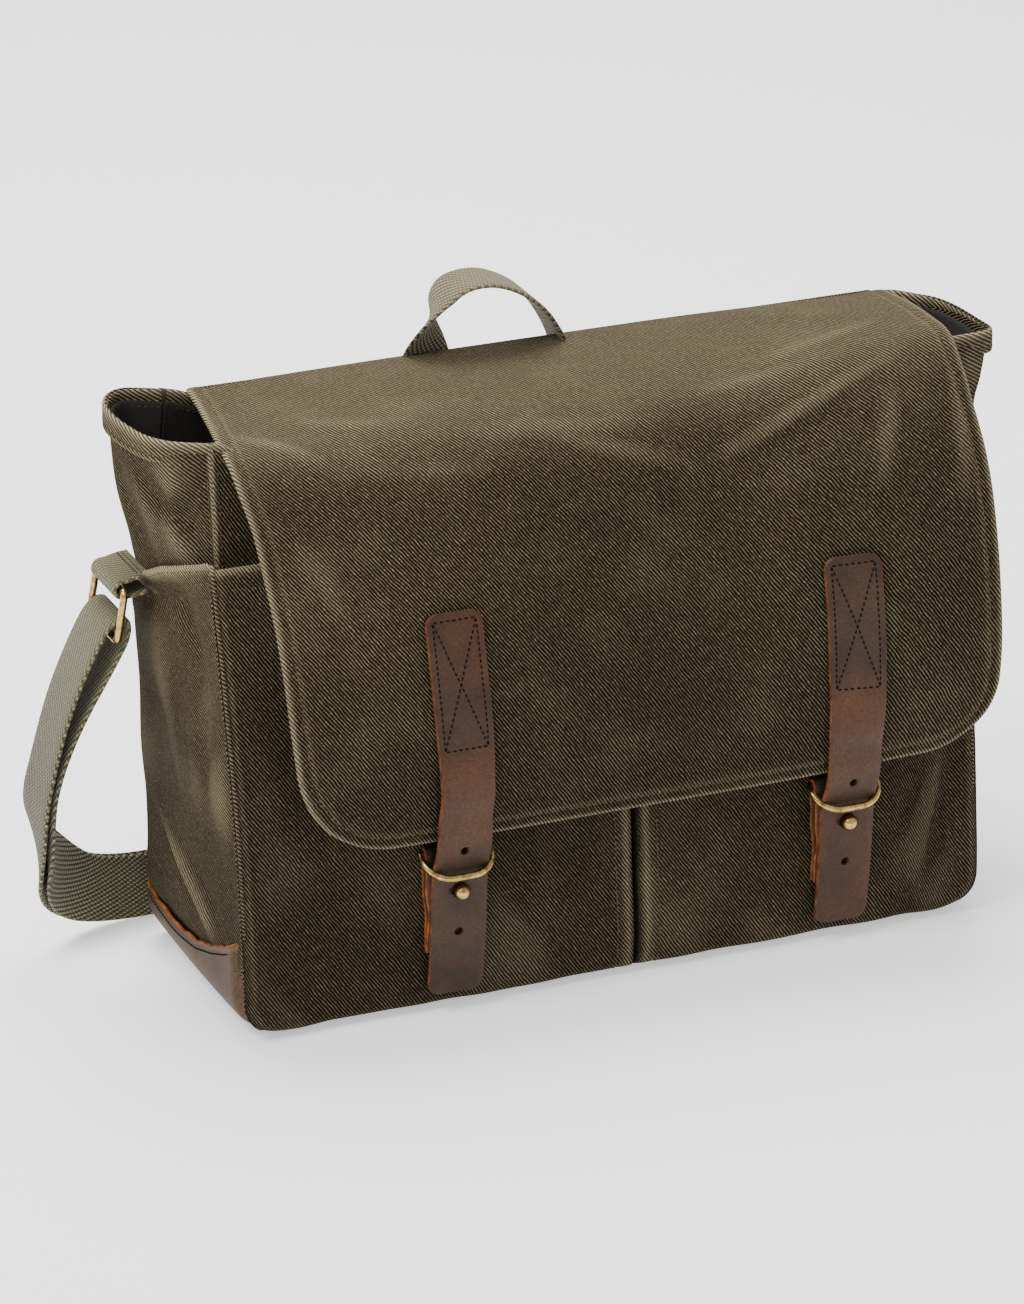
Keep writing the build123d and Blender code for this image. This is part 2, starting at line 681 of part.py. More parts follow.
def strap_loop(side, name):
    """Webbing laid over the side ring's lower bar, both layers hanging down."""
    x, z = lower_bar(side)
    inner = 3.4
    outer = inner + WEBBING
    crown = z + 2.0
    foot = 183.2
    with BuildPart() as loop:
        with BuildSketch(Plane.XZ.offset(-TAB_Y - TAB_WIDTH / 2)):
            with BuildLine():
                Line((x - outer, foot), (x - outer, crown))
                ThreePointArc((x - outer, crown), (x, crown + outer), (x + outer, crown))
                Line((x + outer, crown), (x + outer, foot))
                Line((x + outer, foot), (x + inner, foot))
                Line((x + inner, foot), (x + inner, crown))
                ThreePointArc((x + inner, crown), (x, crown + inner), (x - inner, crown))
                Line((x - inner, crown), (x - inner, foot))
                Line((x - inner, foot), (x - outer, foot))
            make_face()
        extrude(amount=TAB_WIDTH)
    save(loop, name)


for side, word in ((1, "left"), (-1, "right")):
    side_tab(side, f"{word}_side_tab")
    side_ring(side, f"{word}_side_ring")
    strap_loop(side, f"{word}_strap_loop")

# ---------------------------------------------------------------- grab handle
LEG_BOTTOM = HANDLE_AXIS[1] + 2.5
ARCH_Z = 313.0
OUTER_HALF = HANDLE_HALF + HANDLE_WIDTH / 2
INNER_ARCH = HANDLE_HALF - HANDLE_WIDTH / 2
HANDLE_FACE = HANDLE_AXIS[0] - WEBBING / 2

with BuildPart() as grab_handle:
    with BuildSketch(Plane.XZ.offset(-HANDLE_FACE)):
        arches = ((OUTER_HALF, HANDLE_TOP, Mode.ADD), (INNER_ARCH, HANDLE_TOP - 18, Mode.SUBTRACT))
        for half, top, mode in arches:
            left = HANDLE_MIDDLE - half
            right = HANDLE_MIDDLE + half
            with BuildLine():
                Line((left, LEG_BOTTOM), (left, ARCH_Z))
                ThreePointArc((left, ARCH_Z), (HANDLE_MIDDLE, top), (right, ARCH_Z))
                Polyline((right, ARCH_Z), (right, LEG_BOTTOM), (left, LEG_BOTTOM))
            make_face(mode=mode)
    extrude(amount=-WEBBING)
save(grab_handle, "grab_handle")

ANCHOR_TOP = HANDLE_AXIS[1] - 2.5
ANCHOR_BOTTOM = 262.0
with BuildPart() as handle_anchors:
    with BuildSketch(Plane.XZ.offset(-HANDLE_FACE)):
        with Locations(
            (HANDLE_MIDDLE - HANDLE_HALF, (ANCHOR_TOP + ANCHOR_BOTTOM) / 2),
            (HANDLE_MIDDLE + HANDLE_HALF, (ANCHOR_TOP + ANCHOR_BOTTOM) / 2),
        ):
            Rectangle(HANDLE_WIDTH, ANCHOR_TOP - ANCHOR_BOTTOM)
    extrude(amount=-WEBBING)
save(handle_anchors, "handle_anchors")


# ---------------------------------------------------------------- shoulder strap
def corner_radii(points):
    """Radius for each inner point of a route: as large as its two runs allow."""
    radii = []
    for before, here, after in zip(points, points[1:], points[2:]):
        run_in = Vector(*here) - Vector(*before)
        run_out = Vector(*after) - Vector(*here)
        turn = run_in.get_angle(run_out)
        shorter = min(run_in.length, run_out.length)
        radii.append(0.45 * shorter / tan(radians(turn / 2)))
    return radii


def strap_run(points, name):
    """Round stand-in for one stretch of free webbing, along its route."""
    radii = corner_radii(points)
    with BuildPart() as run:
        with BuildLine():
            path = FilletPolyline(*points, radius=radii)
        with BuildSketch(Plane(origin=path @ 0, z_dir=path % 0)):
            Circle(STRAP_TUBE)
        sweep(path=path)
    section = pi * STRAP_TUBE**2
    print(name, "length", round(path.length, 1), "radii", [round(radius) for radius in radii])
    print(name, "volume over section times length", round(run.part.volume / (section * path.length), 4))
    save(run, name)


strap_run(LEFT_ROUTE, "shoulder_strap_left")
strap_run(RIGHT_ROUTE, "shoulder_strap_right")

SLIDER_AT = (-20.0, 146.0, 19.0)
SLIDER_TURN = 14.0         # degrees about Z, along the strap's straight stretch
slider_plane = Plane(
    origin=SLIDER_AT,
    x_dir=(cos(radians(SLIDER_TURN)), sin(radians(SLIDER_TURN)), 0),
    z_dir=(sin(radians(SLIDER_TURN)), -cos(radians(SLIDER_TURN)), 0),
)
with BuildPart() as strap_slider:
    with BuildSketch(slider_plane.offset(-STRAP_TUBE - 0.6)):
        RectangleRounded(26, 36, 3)
        with Locations((-6.5, 0), (6.5, 0)):
            Rectangle(8, 29, mode=Mode.SUBTRACT)
    extrude(amount=-2.8)
save(strap_slider, "strap_slider")
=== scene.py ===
import math

import bpy
import numpy as np
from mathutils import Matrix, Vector


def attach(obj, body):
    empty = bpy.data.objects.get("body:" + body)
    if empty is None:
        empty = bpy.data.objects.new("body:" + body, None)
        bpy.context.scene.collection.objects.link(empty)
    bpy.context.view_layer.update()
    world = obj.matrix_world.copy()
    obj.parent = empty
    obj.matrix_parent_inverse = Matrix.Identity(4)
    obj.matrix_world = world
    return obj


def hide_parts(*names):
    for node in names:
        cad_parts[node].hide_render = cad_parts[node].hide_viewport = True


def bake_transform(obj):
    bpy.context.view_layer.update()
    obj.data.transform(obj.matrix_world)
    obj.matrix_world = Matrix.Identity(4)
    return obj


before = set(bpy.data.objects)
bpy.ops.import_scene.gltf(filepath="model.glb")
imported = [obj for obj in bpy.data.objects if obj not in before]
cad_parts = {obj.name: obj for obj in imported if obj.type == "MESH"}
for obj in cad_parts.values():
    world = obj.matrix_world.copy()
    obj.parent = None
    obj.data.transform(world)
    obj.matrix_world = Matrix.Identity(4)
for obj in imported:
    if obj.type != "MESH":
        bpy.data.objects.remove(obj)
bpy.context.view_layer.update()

# Waxed canvas messenger bag. Lengths are in millimetres up to the point where a mesh is made.
MM = 0.001


# ---------------------------------------------------------------- camera
CAMERA_TARGET = (-35.7, 7.0, 163.6)
CAMERA_TURN = -22.79
CAMERA_RISE = 23.13
CAMERA_DISTANCE = 3.257
CAMERA_LENS = 169.1


def place_camera():
    """Long lens from the front left, a little above the flap."""
    target = Vector(CAMERA_TARGET) * MM
    turn = math.radians(CAMERA_TURN)
    rise = math.radians(CAMERA_RISE)
    level = math.cos(rise)
    away = Vector((math.sin(turn) * level, -math.cos(turn) * level, math.sin(rise)))
    data = bpy.data.cameras.new("camera")
    data.sensor_fit = "VERTICAL"
    data.sensor_height = 36.0
    data.lens = CAMERA_LENS
    data.clip_start = 0.1
    data.clip_end = 60.0
    camera = bpy.data.objects.new("camera", data)
    bpy.context.scene.collection.objects.link(camera)
    camera.location = target + away * CAMERA_DISTANCE
    camera.rotation_euler = (-away).to_track_quat("-Z", "Y").to_euler()
    bpy.context.scene.camera = camera


place_camera()


# ---------------------------------------------------------------- numbers and curves
def smooth(low, high, x):
    """Smooth step from 0 at low to 1 at high."""
    t = np.clip((np.asarray(x, float) - low) / (high - low), 0, 1)
    return t * t * (3 - 2 * t)


def hill(x, centre, width):
    """Smooth hill of height 1."""
    return np.exp(-(((np.asarray(x, float) - centre) / width) ** 2))


def unit(vectors):
    """Vectors scaled to length 1."""
    vectors = np.asarray(vectors, float)
    return vectors / np.maximum(np.linalg.norm(vectors, axis=-1, keepdims=True), 1e-9)


def wobble(u, v, size, seed):
    """Slow, seeded unevenness between about -1 and 1."""
    draw = np.random.RandomState(seed)
    total = 0
    for _ in range(7):
        angle = draw.uniform(0, math.pi)
        length = size * draw.uniform(0.7, 1.6)
        shift = draw.uniform(0, 2 * math.pi)
        total = total + np.sin(2 * math.pi * (u * math.cos(angle) + v * math.sin(angle)) / length + shift)
    return total / 3.2


def fold(u, v, start, end, width, depth):
    """Soft ridge (or valley, where depth is below 0) that runs along a segment and fades at its ends."""
    along = np.subtract(end, start).astype(float)
    share = np.clip(((u - start[0]) * along[0] + (v - start[1]) * along[1]) / (along @ along), 0, 1)
    off_u = u - start[0] - share * along[0]
    off_v = v - start[1] - share * along[1]
    fade = 0.3 + 0.7 * np.sin(math.pi * share)
    return depth * fade * np.exp(-(off_u**2 + off_v**2) / width**2)


def folds(u, v, table):
    """Several folds added up; a row of the table is start, end, width and depth."""
    relief = 0
    for start, end, width, depth in table:
        relief = relief + fold(u, v, start, end, width, depth)
    return relief


def hermite(knots, values, x):
    """Smooth curve through values at uneven knots."""
    knots = np.asarray(knots, float)
    values = np.asarray(values, float)
    x = np.clip(np.asarray(x, float), knots[0], knots[-1])
    slopes = np.gradient(values, knots, axis=0)
    i = np.clip(np.searchsorted(knots, x, side="right") - 1, 0, len(knots) - 2)
    gap = knots[i + 1] - knots[i]
    t = (x - knots[i]) / gap
    shape = t.shape + (1,) * (values.ndim - 1)
    t = t.reshape(shape)
    gap = gap.reshape(shape)
    return (
        (2 * t**3 - 3 * t**2 + 1) * values[i]
        + (t**3 - 2 * t**2 + t) * gap * slopes[i]
        + (3 * t**2 - 2 * t**3) * values[i + 1]
        + (t**3 - t**2) * gap * slopes[i + 1]
    )


def even(points, count):
    """A smooth curve through points, given back as evenly spaced points."""
    points = np.asarray(points, float)
    steps = np.linalg.norm(np.diff(points, axis=0), axis=1)
    knots = np.concatenate([[0], np.cumsum(np.sqrt(np.maximum(steps, 1e-6)))])
    dense = hermite(knots, points, np.linspace(0, knots[-1], 600))
    run = run_length(dense)
    return sampled(np.linspace(0, run[-1], count), run, dense)


def run_length(points):
    """Distance along a line of points, at each point."""
    steps = np.linalg.norm(np.diff(points, axis=0), axis=1)
    return np.concatenate([[0], np.cumsum(steps)])


def sampled(wanted, knots, values):
    """Rows of a table of vectors, read between its knots."""
    return np.stack([np.interp(wanted, knots, values[:, k]) for k in range(values.shape[1])], axis=1)


def steady(direction, count):
    """The same direction at each point of a line."""
    return np.tile(np.array(direction, float), (count, 1))


def cells(values, grid):
    """Place of some values on a grid line, in cells and parts of a cell."""
    place = (np.asarray(values, float) - grid[0]) / (grid[-1] - grid[0]) * (len(grid) - 1)
    place = np.clip(place, 0, len(grid) - 1.001)
    whole = place.astype(int)
    return whole, (place - whole)[..., None]


class Surface:
    """A sheet in space: points on a fine grid over flat coordinates u (to the right) and v (up)."""

    def __init__(self, us, vs, points):
        self.us = np.asarray(us, float)
        self.vs = np.asarray(vs, float)
        self.points = np.asarray(points, float)
        self.find_normals()

    def find_normals(self):
        """Normals from the grid; they point to the side from which u runs right and v runs up."""
        along_u = np.gradient(self.points, axis=1)
        along_v = np.gradient(self.points, axis=0)
        self.normals = unit(np.cross(along_u, along_v))

    def lift(self, height):
        """Move the sheet along its normals; height is a function of u and v."""
        u, v = np.meshgrid(self.us, self.vs)
        self.points = self.points + self.normals * height(u, v)[..., None]
        self.find_normals()
        return self

    def at(self, u, v, lift=0.0):
        """Points and normals at flat coordinates."""
        column, right = cells(u, self.us)
        row, up = cells(v, self.vs)
        found = []
        for field in (self.points, self.normals):
            low = field[row, column] * (1 - right) + field[row, column + 1] * right
            high = field[row + 1, column] * (1 - right) + field[row + 1, column + 1] * right
            found.append(low * (1 - up) + high * up)
        normal = unit(found[1])
        lift = np.asarray(lift, float)
        return found[0] + normal * (lift[..., None] if lift.ndim else lift), normal


def lofted(rows, width, count_u=150, count_v=170):
    """Surface through rows; a row is a height and control points in x and y, run from left to right."""
    heights = [row[0] for row in rows]
    lines = np.array([even(row[1], count_u) for row in rows])
    z = np.linspace(heights[0], heights[-1], count_v)
    flat = hermite(heights, lines, z)
    points = np.concatenate([flat, np.broadcast_to(z[:, None, None], flat.shape[:2] + (1,))], axis=2)
    return Surface(np.linspace(0, width, count_u), z, points)


# ---------------------------------------------------------------- meshes
def make_object(name, points, faces, flat=None, materials=(), face_materials=None, wear_and_light=None):
    """Mesh object from points in millimetres, with flat coordinates in metres as its UV map."""
    mesh = bpy.data.meshes.new(name)
    mesh.from_pydata((np.asarray(points) * MM).tolist(), [], [list(map(int, face)) for face in faces])
    for material in materials:
        mesh.materials.append(material)
    if face_materials is not None:
        mesh.polygons.foreach_set("material_index", np.asarray(face_materials, np.int32))
    if flat is not None:
        layer = mesh.uv_layers.new(name="UVMap")
        corners = np.empty(len(mesh.loops), np.int32)
        mesh.loops.foreach_get("vertex_index", corners)
        layer.data.foreach_set("uv", (np.asarray(flat)[corners] * MM).astype(np.float32).ravel())
    attribute = mesh.attributes.new("wear_and_light", "FLOAT", "POINT")
    if wear_and_light is not None:
        attribute.data.foreach_set("value", np.asarray(wear_and_light, np.float32))
    mesh.polygons.foreach_set("use_smooth", np.ones(len(mesh.polygons), bool))
    mesh.validate()
    mesh.update()
    item = bpy.data.objects.new(name, mesh)
    bpy.context.scene.collection.objects.link(item)
    return item


def grid_faces(rows, columns, first=0, flip=False):
    """Quads of a grid of points."""
    r, c = np.meshgrid(np.arange(rows - 1), np.arange(columns - 1), indexing="ij")
    a = (first + r * columns + c).ravel()
    quads = np.stack([a, a + 1, a + columns + 1, a + columns], axis=1)
    return quads[:, ::-1] if flip else quads


# how far a shell's rim stands out, as a share of its thickness
RIM_BULGE = 0.4


def outward(grid):
    """Directions out of a grid of points, along its four sides; zero inside it."""
    away = np.zeros(grid.shape)
    away[0] += unit(grid[0] - grid[1])
    away[-1] += unit(grid[-1] - grid[-2])
    away[:, 0] += unit(grid[:, 0] - grid[:, 1])
    away[:, -1] += unit(grid[:, -1] - grid[:, -2])
    return away.reshape(-1, grid.shape[-1])


def shell(name, outer, inner, flat, materials, wear_and_light=None, rim_material=0, back_material=0, rim_wear=0.15):
    """Closed sheet between two grids of points, with a rounded rim all round."""
    rows, columns = outer.shape[:2]
    count = rows * columns
    index = np.arange(count).reshape(rows, columns)
    loop = np.concatenate([index[0, :-1], index[:-1, -1], index[-1, :0:-1], index[:0:-1, 0]])
    out = outer.reshape(-1, 3)
    back = inner.reshape(-1, 3)
    thick = np.linalg.norm(out - back, axis=1, keepdims=True)
    middle = ((out + back) / 2 + unit(outward(outer)) * thick * RIM_BULGE)[loop]
    points = np.concatenate([out, back, middle])
    here = 2 * count + np.arange(len(loop))
    after = np.roll(here, -1)
    loop_after = np.roll(loop, -1)
    rim_out = np.stack([loop, here, after, loop_after], axis=1)
    rim_back = np.stack([here, loop + count, loop_after + count, after], axis=1)
    front_faces = grid_faces(rows, columns)
    back_faces = grid_faces(rows, columns, count, True)
    faces = np.concatenate([front_faces, back_faces, rim_out, rim_back])
    quads = len(front_faces)
    face_materials = np.repeat([0, back_material, rim_material], [quads, quads, 2 * len(loop)])
    uv = flat.reshape(-1, 2)
    wrapped = outward(flat) * thick
    uv = np.concatenate([uv, uv + wrapped, (uv + wrapped / 2)[loop]])
    worn = None
    if wear_and_light is not None:
        worn = wear_and_light.ravel()
        worn = np.concatenate([worn, worn, np.maximum(worn[loop], rim_wear)])
    return make_object(name, points, faces, uv, materials, face_materials, worn)


def tube(name, path, side, up, section, materials, edge_faces=(), scale=None, wear_and_light=None):
    """Closed solid: a closed section of (across, above) points carried along a path."""
    section = np.asarray(section, float)
    across = section[None, :, 0:1] * (1 if scale is None else np.asarray(scale)[:, None, None])
    points = path[:, None] + side[:, None] * across + up[:, None] * section[None, :, 1:2]
    rows, columns = points.shape[:2]
    index = np.arange(rows * columns).reshape(rows, columns)
    index = np.concatenate([index, index[:, :1]], axis=1)
    faces = index.ravel()[grid_faces(rows, columns + 1)]
    materials_of = np.tile(np.isin(np.arange(columns), edge_faces).astype(int), rows - 1)
    caps = [list(range(columns))[::-1], list(range((rows - 1) * columns, rows * columns))]
    length = run_length(path)
    flat = np.stack(np.broadcast_arrays(across[..., 0], length[:, None]), axis=2).reshape(-1, 2)
    face_materials = list(materials_of) + [1 if len(edge_faces) else 0] * 2
    all_faces = [list(face) for face in faces] + caps
    worn = None if wear_and_light is None else np.repeat(np.asarray(wear_and_light, float), columns)
    return make_object(name, points.reshape(-1, 3), all_faces, flat, materials, face_materials, worn)


def tangents(path):
    """Direction of a line of points at each point."""
    return unit(np.gradient(path, axis=0))


def square_up(path, width_direction):
    """Side and up directions for a strip that is carried along a path."""
    along = tangents(path)
    side = unit(width_direction - along * np.sum(width_direction * along, axis=1, keepdims=True))
    return side, unit(np.cross(side, along))


def strip_section(width, thickness, soft=0.45):
    """Section of a strap or webbing: flat faces and rounded edges, with a few points across."""
    half = width / 2
    t = thickness / 2
    across = np.linspace(-half + t * soft * 2, half - t * soft * 2, 9)
    top = [(a, t) for a in across]
    bottom = [(a, -t) for a in across[::-1]]
    return top + [(half - t * 0.3, t * 0.6), (half, 0), (half - t * 0.3, -t * 0.6)] + bottom + [
        (t * 0.3 - half, -t * 0.6), (-half, 0), (t * 0.3 - half, t * 0.6)
    ]


# the faces of such a section that lie along its cut edges
STRIP_EDGES = (8, 9, 10, 11, 20, 21, 22, 23)


def join(name, items):
    """One object out of several meshes that share their material list."""
    bpy.ops.object.select_all(action="DESELECT")
    for item in items:
        item.select_set(True)
    bpy.context.view_layer.objects.active = items[0]
    bpy.ops.object.join()
    items[0].name = name
    items[0].data.name = name
    return items[0]


def even_line(points, step):
    """A line of points again, at even steps."""
    length = run_length(points)
    wanted = np.linspace(0, length[-1], max(2, int(round(length[-1] / step)) + 1))
    return sampled(wanted, length, points)


def stitch_row(points, normals, pitch=3.4, share=0.68):
    """Centres, directions and normals of the stitches along a line on a surface."""
    length = run_length(points)
    count = max(1, int(length[-1] / pitch))
    centres = (np.arange(count) + 0.5) * length[-1] / count
    place = sampled(centres, length, points)
    direction = unit(sampled(centres, length, tangents(points)))
    normal = unit(sampled(centres, length, normals))
    return place, direction, normal, np.full(count, share * pitch)


# sections of a stitch: place along it, thickness, and height above the cloth
STITCH_STATIONS = (
    (-0.5, 0.35, -0.45), (-0.36, 0.9, 0.05), (0.0, 1.0, 0.3), (0.36, 0.9, 0.05), (0.5, 0.35, -0.45),
)
THREAD_SIDES = 6


def stitches(name, rows, material, radius=0.42):
    """All the stitches of some seams as one object: small arched threads that dive into the cloth."""
    place, direction, normal, length = [np.concatenate(part) for part in zip(*rows)]
    side = unit(np.cross(normal, direction))
    points = []
    for share, size, rise in STITCH_STATIONS:
        for angle in np.arange(THREAD_SIDES) * 2 * math.pi / THREAD_SIDES:
            points.append(
                place
                + direction * (length * share)[:, None]
                + side * math.cos(angle) * radius * size
                + normal * (math.sin(angle) * radius * size * 0.8 + rise * radius)
            )
    points = np.stack(points, axis=1)
    per = points.shape[1]
    base = []
    for a in range(per - THREAD_SIDES):
        b = a + 1 if (a + 1) % THREAD_SIDES else a + 1 - THREAD_SIDES
        base.append([a, b, b + THREAD_SIDES, a + THREAD_SIDES])
    first = np.arange(len(place)) * per
    faces = first[:, None, None] + np.array(base)[None]
    caps = first[:, None] + np.arange(THREAD_SIDES)[None]
    far_caps = caps + per - THREAD_SIDES
    all_faces = faces.reshape(-1, 4).tolist() + caps[:, ::-1].tolist() + far_caps.tolist()
    flat = np.tile(np.array([divmod(k, THREAD_SIDES)[::-1] for k in range(per)], float), (len(place), 1))
    return make_object(name, points.reshape(-1, 3), all_faces, flat, [material])


# ---------------------------------------------------------------- materials
class Paint:
    """Short way to write a node material."""

    def __init__(self, name):
        self.material = bpy.data.materials.new(name)
        self.material.use_nodes = True
        self.tree = self.material.node_tree
        self.tree.nodes.clear()
        self.output = self.tree.nodes.new("ShaderNodeOutputMaterial")
        self.shader = self.tree.nodes.new("ShaderNodeBsdfPrincipled")
        self.tree.links.new(self.shader.outputs[0], self.output.inputs[0])

    def feed(self, socket, value):
        """Link a node's output, or set a plain value."""
        if isinstance(value, bpy.types.NodeSocket):
            self.tree.links.new(value, socket)
        else:
            socket.default_value = value

    def node(self, kind, inputs=(), output=0, **settings):
        """New node; inputs are pairs of socket name or number and value."""
        made = self.tree.nodes.new("ShaderNode" + kind)
        for key, value in settings.items():
            setattr(made, key, value)
        for key, value in inputs:
            self.feed(made.inputs[key], value)
        return made.outputs[output]

    def math(self, operation, a, b=0.0):
        """One arithmetic node."""
        return self.node("Math", ((0, a), (1, b)), operation=operation)

    def times(self, a, b):
        """a times b."""
        return self.math("MULTIPLY", a, b)

    def plus(self, a, b):
        """a plus b."""
        return self.math("ADD", a, b)

    def mix(self, share, a, b):
        """Colour a, and colour b as far as share reaches."""
        return self.node("Mix", ((0, share), (6, a), (7, b)), 2, data_type="RGBA")

    def ramp(self, value, low, high):
        """0 at low and 1 at high."""
        return self.node("MapRange", ((0, value), (1, low), (2, high)), clamp=True)

    def noise(self, vector, scale, detail=3.0, rough=0.55):
        """Cloudy noise around 0.5."""
        inputs = (("Vector", vector), ("Scale", scale), ("Detail", detail), ("Roughness", rough))
        return self.node("TexNoise", inputs, 0)

    def bump(self, height, distance, strength=1.0, normal=None):
        """Normal of a relief, on top of another normal."""
        inputs = [("Height", height), ("Distance", distance), ("Strength", strength)]
        if normal is not None:
            inputs.append(("Normal", normal))
        return self.node("Bump", inputs)

    def flat(self):
        """Flat coordinates in millimetres: the pair and its two parts."""
        uv = self.node("UVMap", uv_map="UVMap")
        vector = self.node("VectorMath", ((0, uv), (1, (1000.0, 1000.0, 0.0))), operation="MULTIPLY")
        parts = self.tree.nodes.new("ShaderNodeSeparateXYZ")
        self.tree.links.new(vector, parts.inputs[0])
        return vector, parts.outputs[0], parts.outputs[1]

    def place(self):
        """Object coordinates, in metres."""
        return self.node("TexCoord", output=3)

    def worn(self):
        """How far each place is rubbed, with the painted highlight on the flap's top, from the mesh."""
        return self.node("Attribute", output=2, attribute_name="wear_and_light")

    def surface(self, colour, rough, shine, normal):
        """Feed the shader its colour, roughness, shine and relief, and give back the material."""
        wanted = {"Base Color": colour, "Roughness": rough, "Specular IOR Level": shine, "Normal": normal}
        for key, value in wanted.items():
            self.feed(self.shader.inputs[key], value)
        return self.material

    def streaks(self, u, v, degrees, fine, long):
        """Noise drawn out along the ribs of a weave."""
        a = math.radians(degrees)
        run = self.plus(self.times(u, math.cos(a)), self.times(v, math.sin(a)))
        rise = self.math("SUBTRACT", self.times(v, math.cos(a)), self.times(u, math.sin(a)))
        inputs = ((0, self.times(run, fine)), (1, self.times(rise, long)))
        return self.noise(self.node("CombineXYZ", inputs), 1.0, 2.0, 0.6)

    def wave(self, u, v, degrees, pitch, jitter=None):
        """Ribs across a direction: a sine between 0 and 1."""
        a = math.radians(degrees)
        run = self.plus(self.times(u, math.cos(a)), self.times(v, math.sin(a)))
        if jitter is not None:
            run = self.plus(run, jitter)
        sine = self.math("SINE", self.times(run, 2 * math.pi / pitch))
        return self.plus(self.times(sine, 0.5), 0.5)


def rgb(red, green, blue):
    """Linear colour from display values between 0 and 255."""
    def linear(value):
        value = value / 255
        return value / 12.92 if value <= 0.04045 else ((value + 0.055) / 1.055) ** 2.4
    return (linear(red), linear(green), linear(blue), 1.0)


def canvas(name, groove, rib, worn, degrees=35.0, pitch=1.6):
    """Waxed cotton twill: diagonal ribs of uneven yarn, slow patches of wax, paler worn places with a
    painted highlight on the flap's top, and painted shade towards the floor.
    """
    paint = Paint(name)
    vector, u, v = paint.flat()
    place = paint.place()
    waver = paint.noise(vector, 0.10, 2.0)
    jitter = paint.times(paint.math("SUBTRACT", waver, 0.5), 1.8)
    ribs = paint.math("POWER", paint.wave(u, v, degrees, pitch, jitter), 1.8)
    yarn = paint.streaks(u, v, degrees, 0.62, 0.22)
    knots = paint.streaks(u, v, degrees, 0.60, 0.75)
    patches = paint.noise(place, 30.0, 4.0, 0.6)
    broad = paint.noise(place, 6.0, 2.0)
    wear_and_light = paint.worn()
    height = paint.times(ribs, paint.ramp(knots, -0.35, 0.60))
    tone = paint.times(height, paint.plus(paint.ramp(yarn, 0.20, 0.75), 0.30))
    colour = paint.mix(tone, groove, rib)
    spark = paint.times(paint.ramp(knots, 0.56, 0.72), paint.times(ribs, 0.5))
    colour = paint.mix(spark, colour, worn)
    share = paint.times(paint.ramp(patches, 0.50, 0.75), paint.times(ribs, 0.16))
    colour = paint.mix(share, colour, worn)
    dark = tuple(0.5 * part for part in groove[:3]) + (1.0,)
    colour = paint.mix(paint.times(paint.ramp(broad, 0.60, 0.35), 0.22), colour, dark)
    # painted shade: the canvas is darkened towards the floor
    level = paint.node("SeparateXYZ", ((0, place),), 2)
    colour = paint.mix(paint.times(paint.ramp(level, 0.22, 0.09), 0.27), colour, dark)
    # paler towards the pale colour: real wear at edges and creases, and the painted highlight on the flap's
    # top
    rubbed = paint.times(wear_and_light, paint.plus(paint.times(height, 0.9), 0.15))
    colour = paint.mix(rubbed, colour, worn)
    slow = paint.bump(paint.noise(place, 60.0, 3.0), 0.0010, 0.4)
    return paint.surface(colour, 0.9, 0.05, paint.bump(height, 0.0006, 1.0, slow))


def webbing(name, groove, rib, degrees, pitch=2.5):
    """Heavy webbing: fat pebbly ribs on the slant."""
    paint = Paint(name)
    vector, u, v = paint.flat()
    ribs = paint.wave(u, v, degrees, pitch)
    knots = paint.wave(u, v, degrees + 66.0, pitch * 0.72)
    yarn = paint.noise(vector, 1.1, 3.0, 0.7)
    pebble = paint.plus(paint.times(knots, 0.7), 0.3)
    height = paint.times(paint.math("POWER", ribs, 0.7), pebble)
    tone = paint.times(height, paint.ramp(yarn, 0.18, 0.62))
    colour = paint.mix(tone, groove, rib)
    colour = paint.mix(paint.times(paint.worn(), 0.5), colour, rib)
    paint.shader.inputs["Sheen Weight"].default_value = 0.15
    return paint.surface(colour, 0.9, 0.2, paint.bump(height, 0.0009, 1.0))


def leather(name, deep, mid, tan, rough=0.52):
    """Oiled leather: fine grain, cloudy patina, tan where it is bent or rubbed."""
    paint = Paint(name)
    place = paint.place()
    vector, _, _ = paint.flat()
    clouds = paint.noise(place, 28.0, 4.0, 0.6)
    broad = paint.noise(place, 9.0, 2.0)
    grain = paint.node("TexVoronoi", (("Vector", place), ("Scale", 1100.0)), 0)
    pores = paint.noise(place, 700.0, 3.0, 0.7)
    scuffs = paint.noise(vector, 0.28, 4.0, 0.75)
    colour = paint.mix(paint.ramp(clouds, 0.30, 0.72), deep, mid)
    colour = paint.mix(paint.times(paint.ramp(broad, 0.5, 0.75), 0.28), colour, tan)
    colour = paint.mix(paint.times(paint.ramp(scuffs, 0.60, 0.80), 0.30), colour, tan)
    colour = paint.mix(paint.times(paint.worn(), 0.65), colour, tan)
    colour = paint.mix(paint.times(paint.ramp(pores, 0.60, 0.40), 0.5), colour, deep)
    creases = paint.bump(paint.noise(place, 90.0, 4.0, 0.6), 0.0006, 0.6)
    grained = paint.bump(grain, 0.00022, 0.5, creases)
    return paint.surface(colour, rough, 0.24, paint.bump(pores, 0.00025, 0.6, grained))


def raw_edge(name, light, dark):
    """Cut edge of leather: fibrous and uneven."""
    paint = Paint(name)
    place = paint.place()
    fibres = paint.noise(place, 900.0, 4.0, 0.8)
    patches = paint.noise(place, 150.0, 3.0, 0.6)
    colour = paint.mix(paint.ramp(patches, 0.35, 0.65), light, dark)
    colour = paint.mix(paint.times(paint.ramp(fibres, 0.55, 0.42), 0.5), colour, dark)
    return paint.surface(colour, 0.9, 0.15, paint.bump(fibres, 0.0006, 1.0))


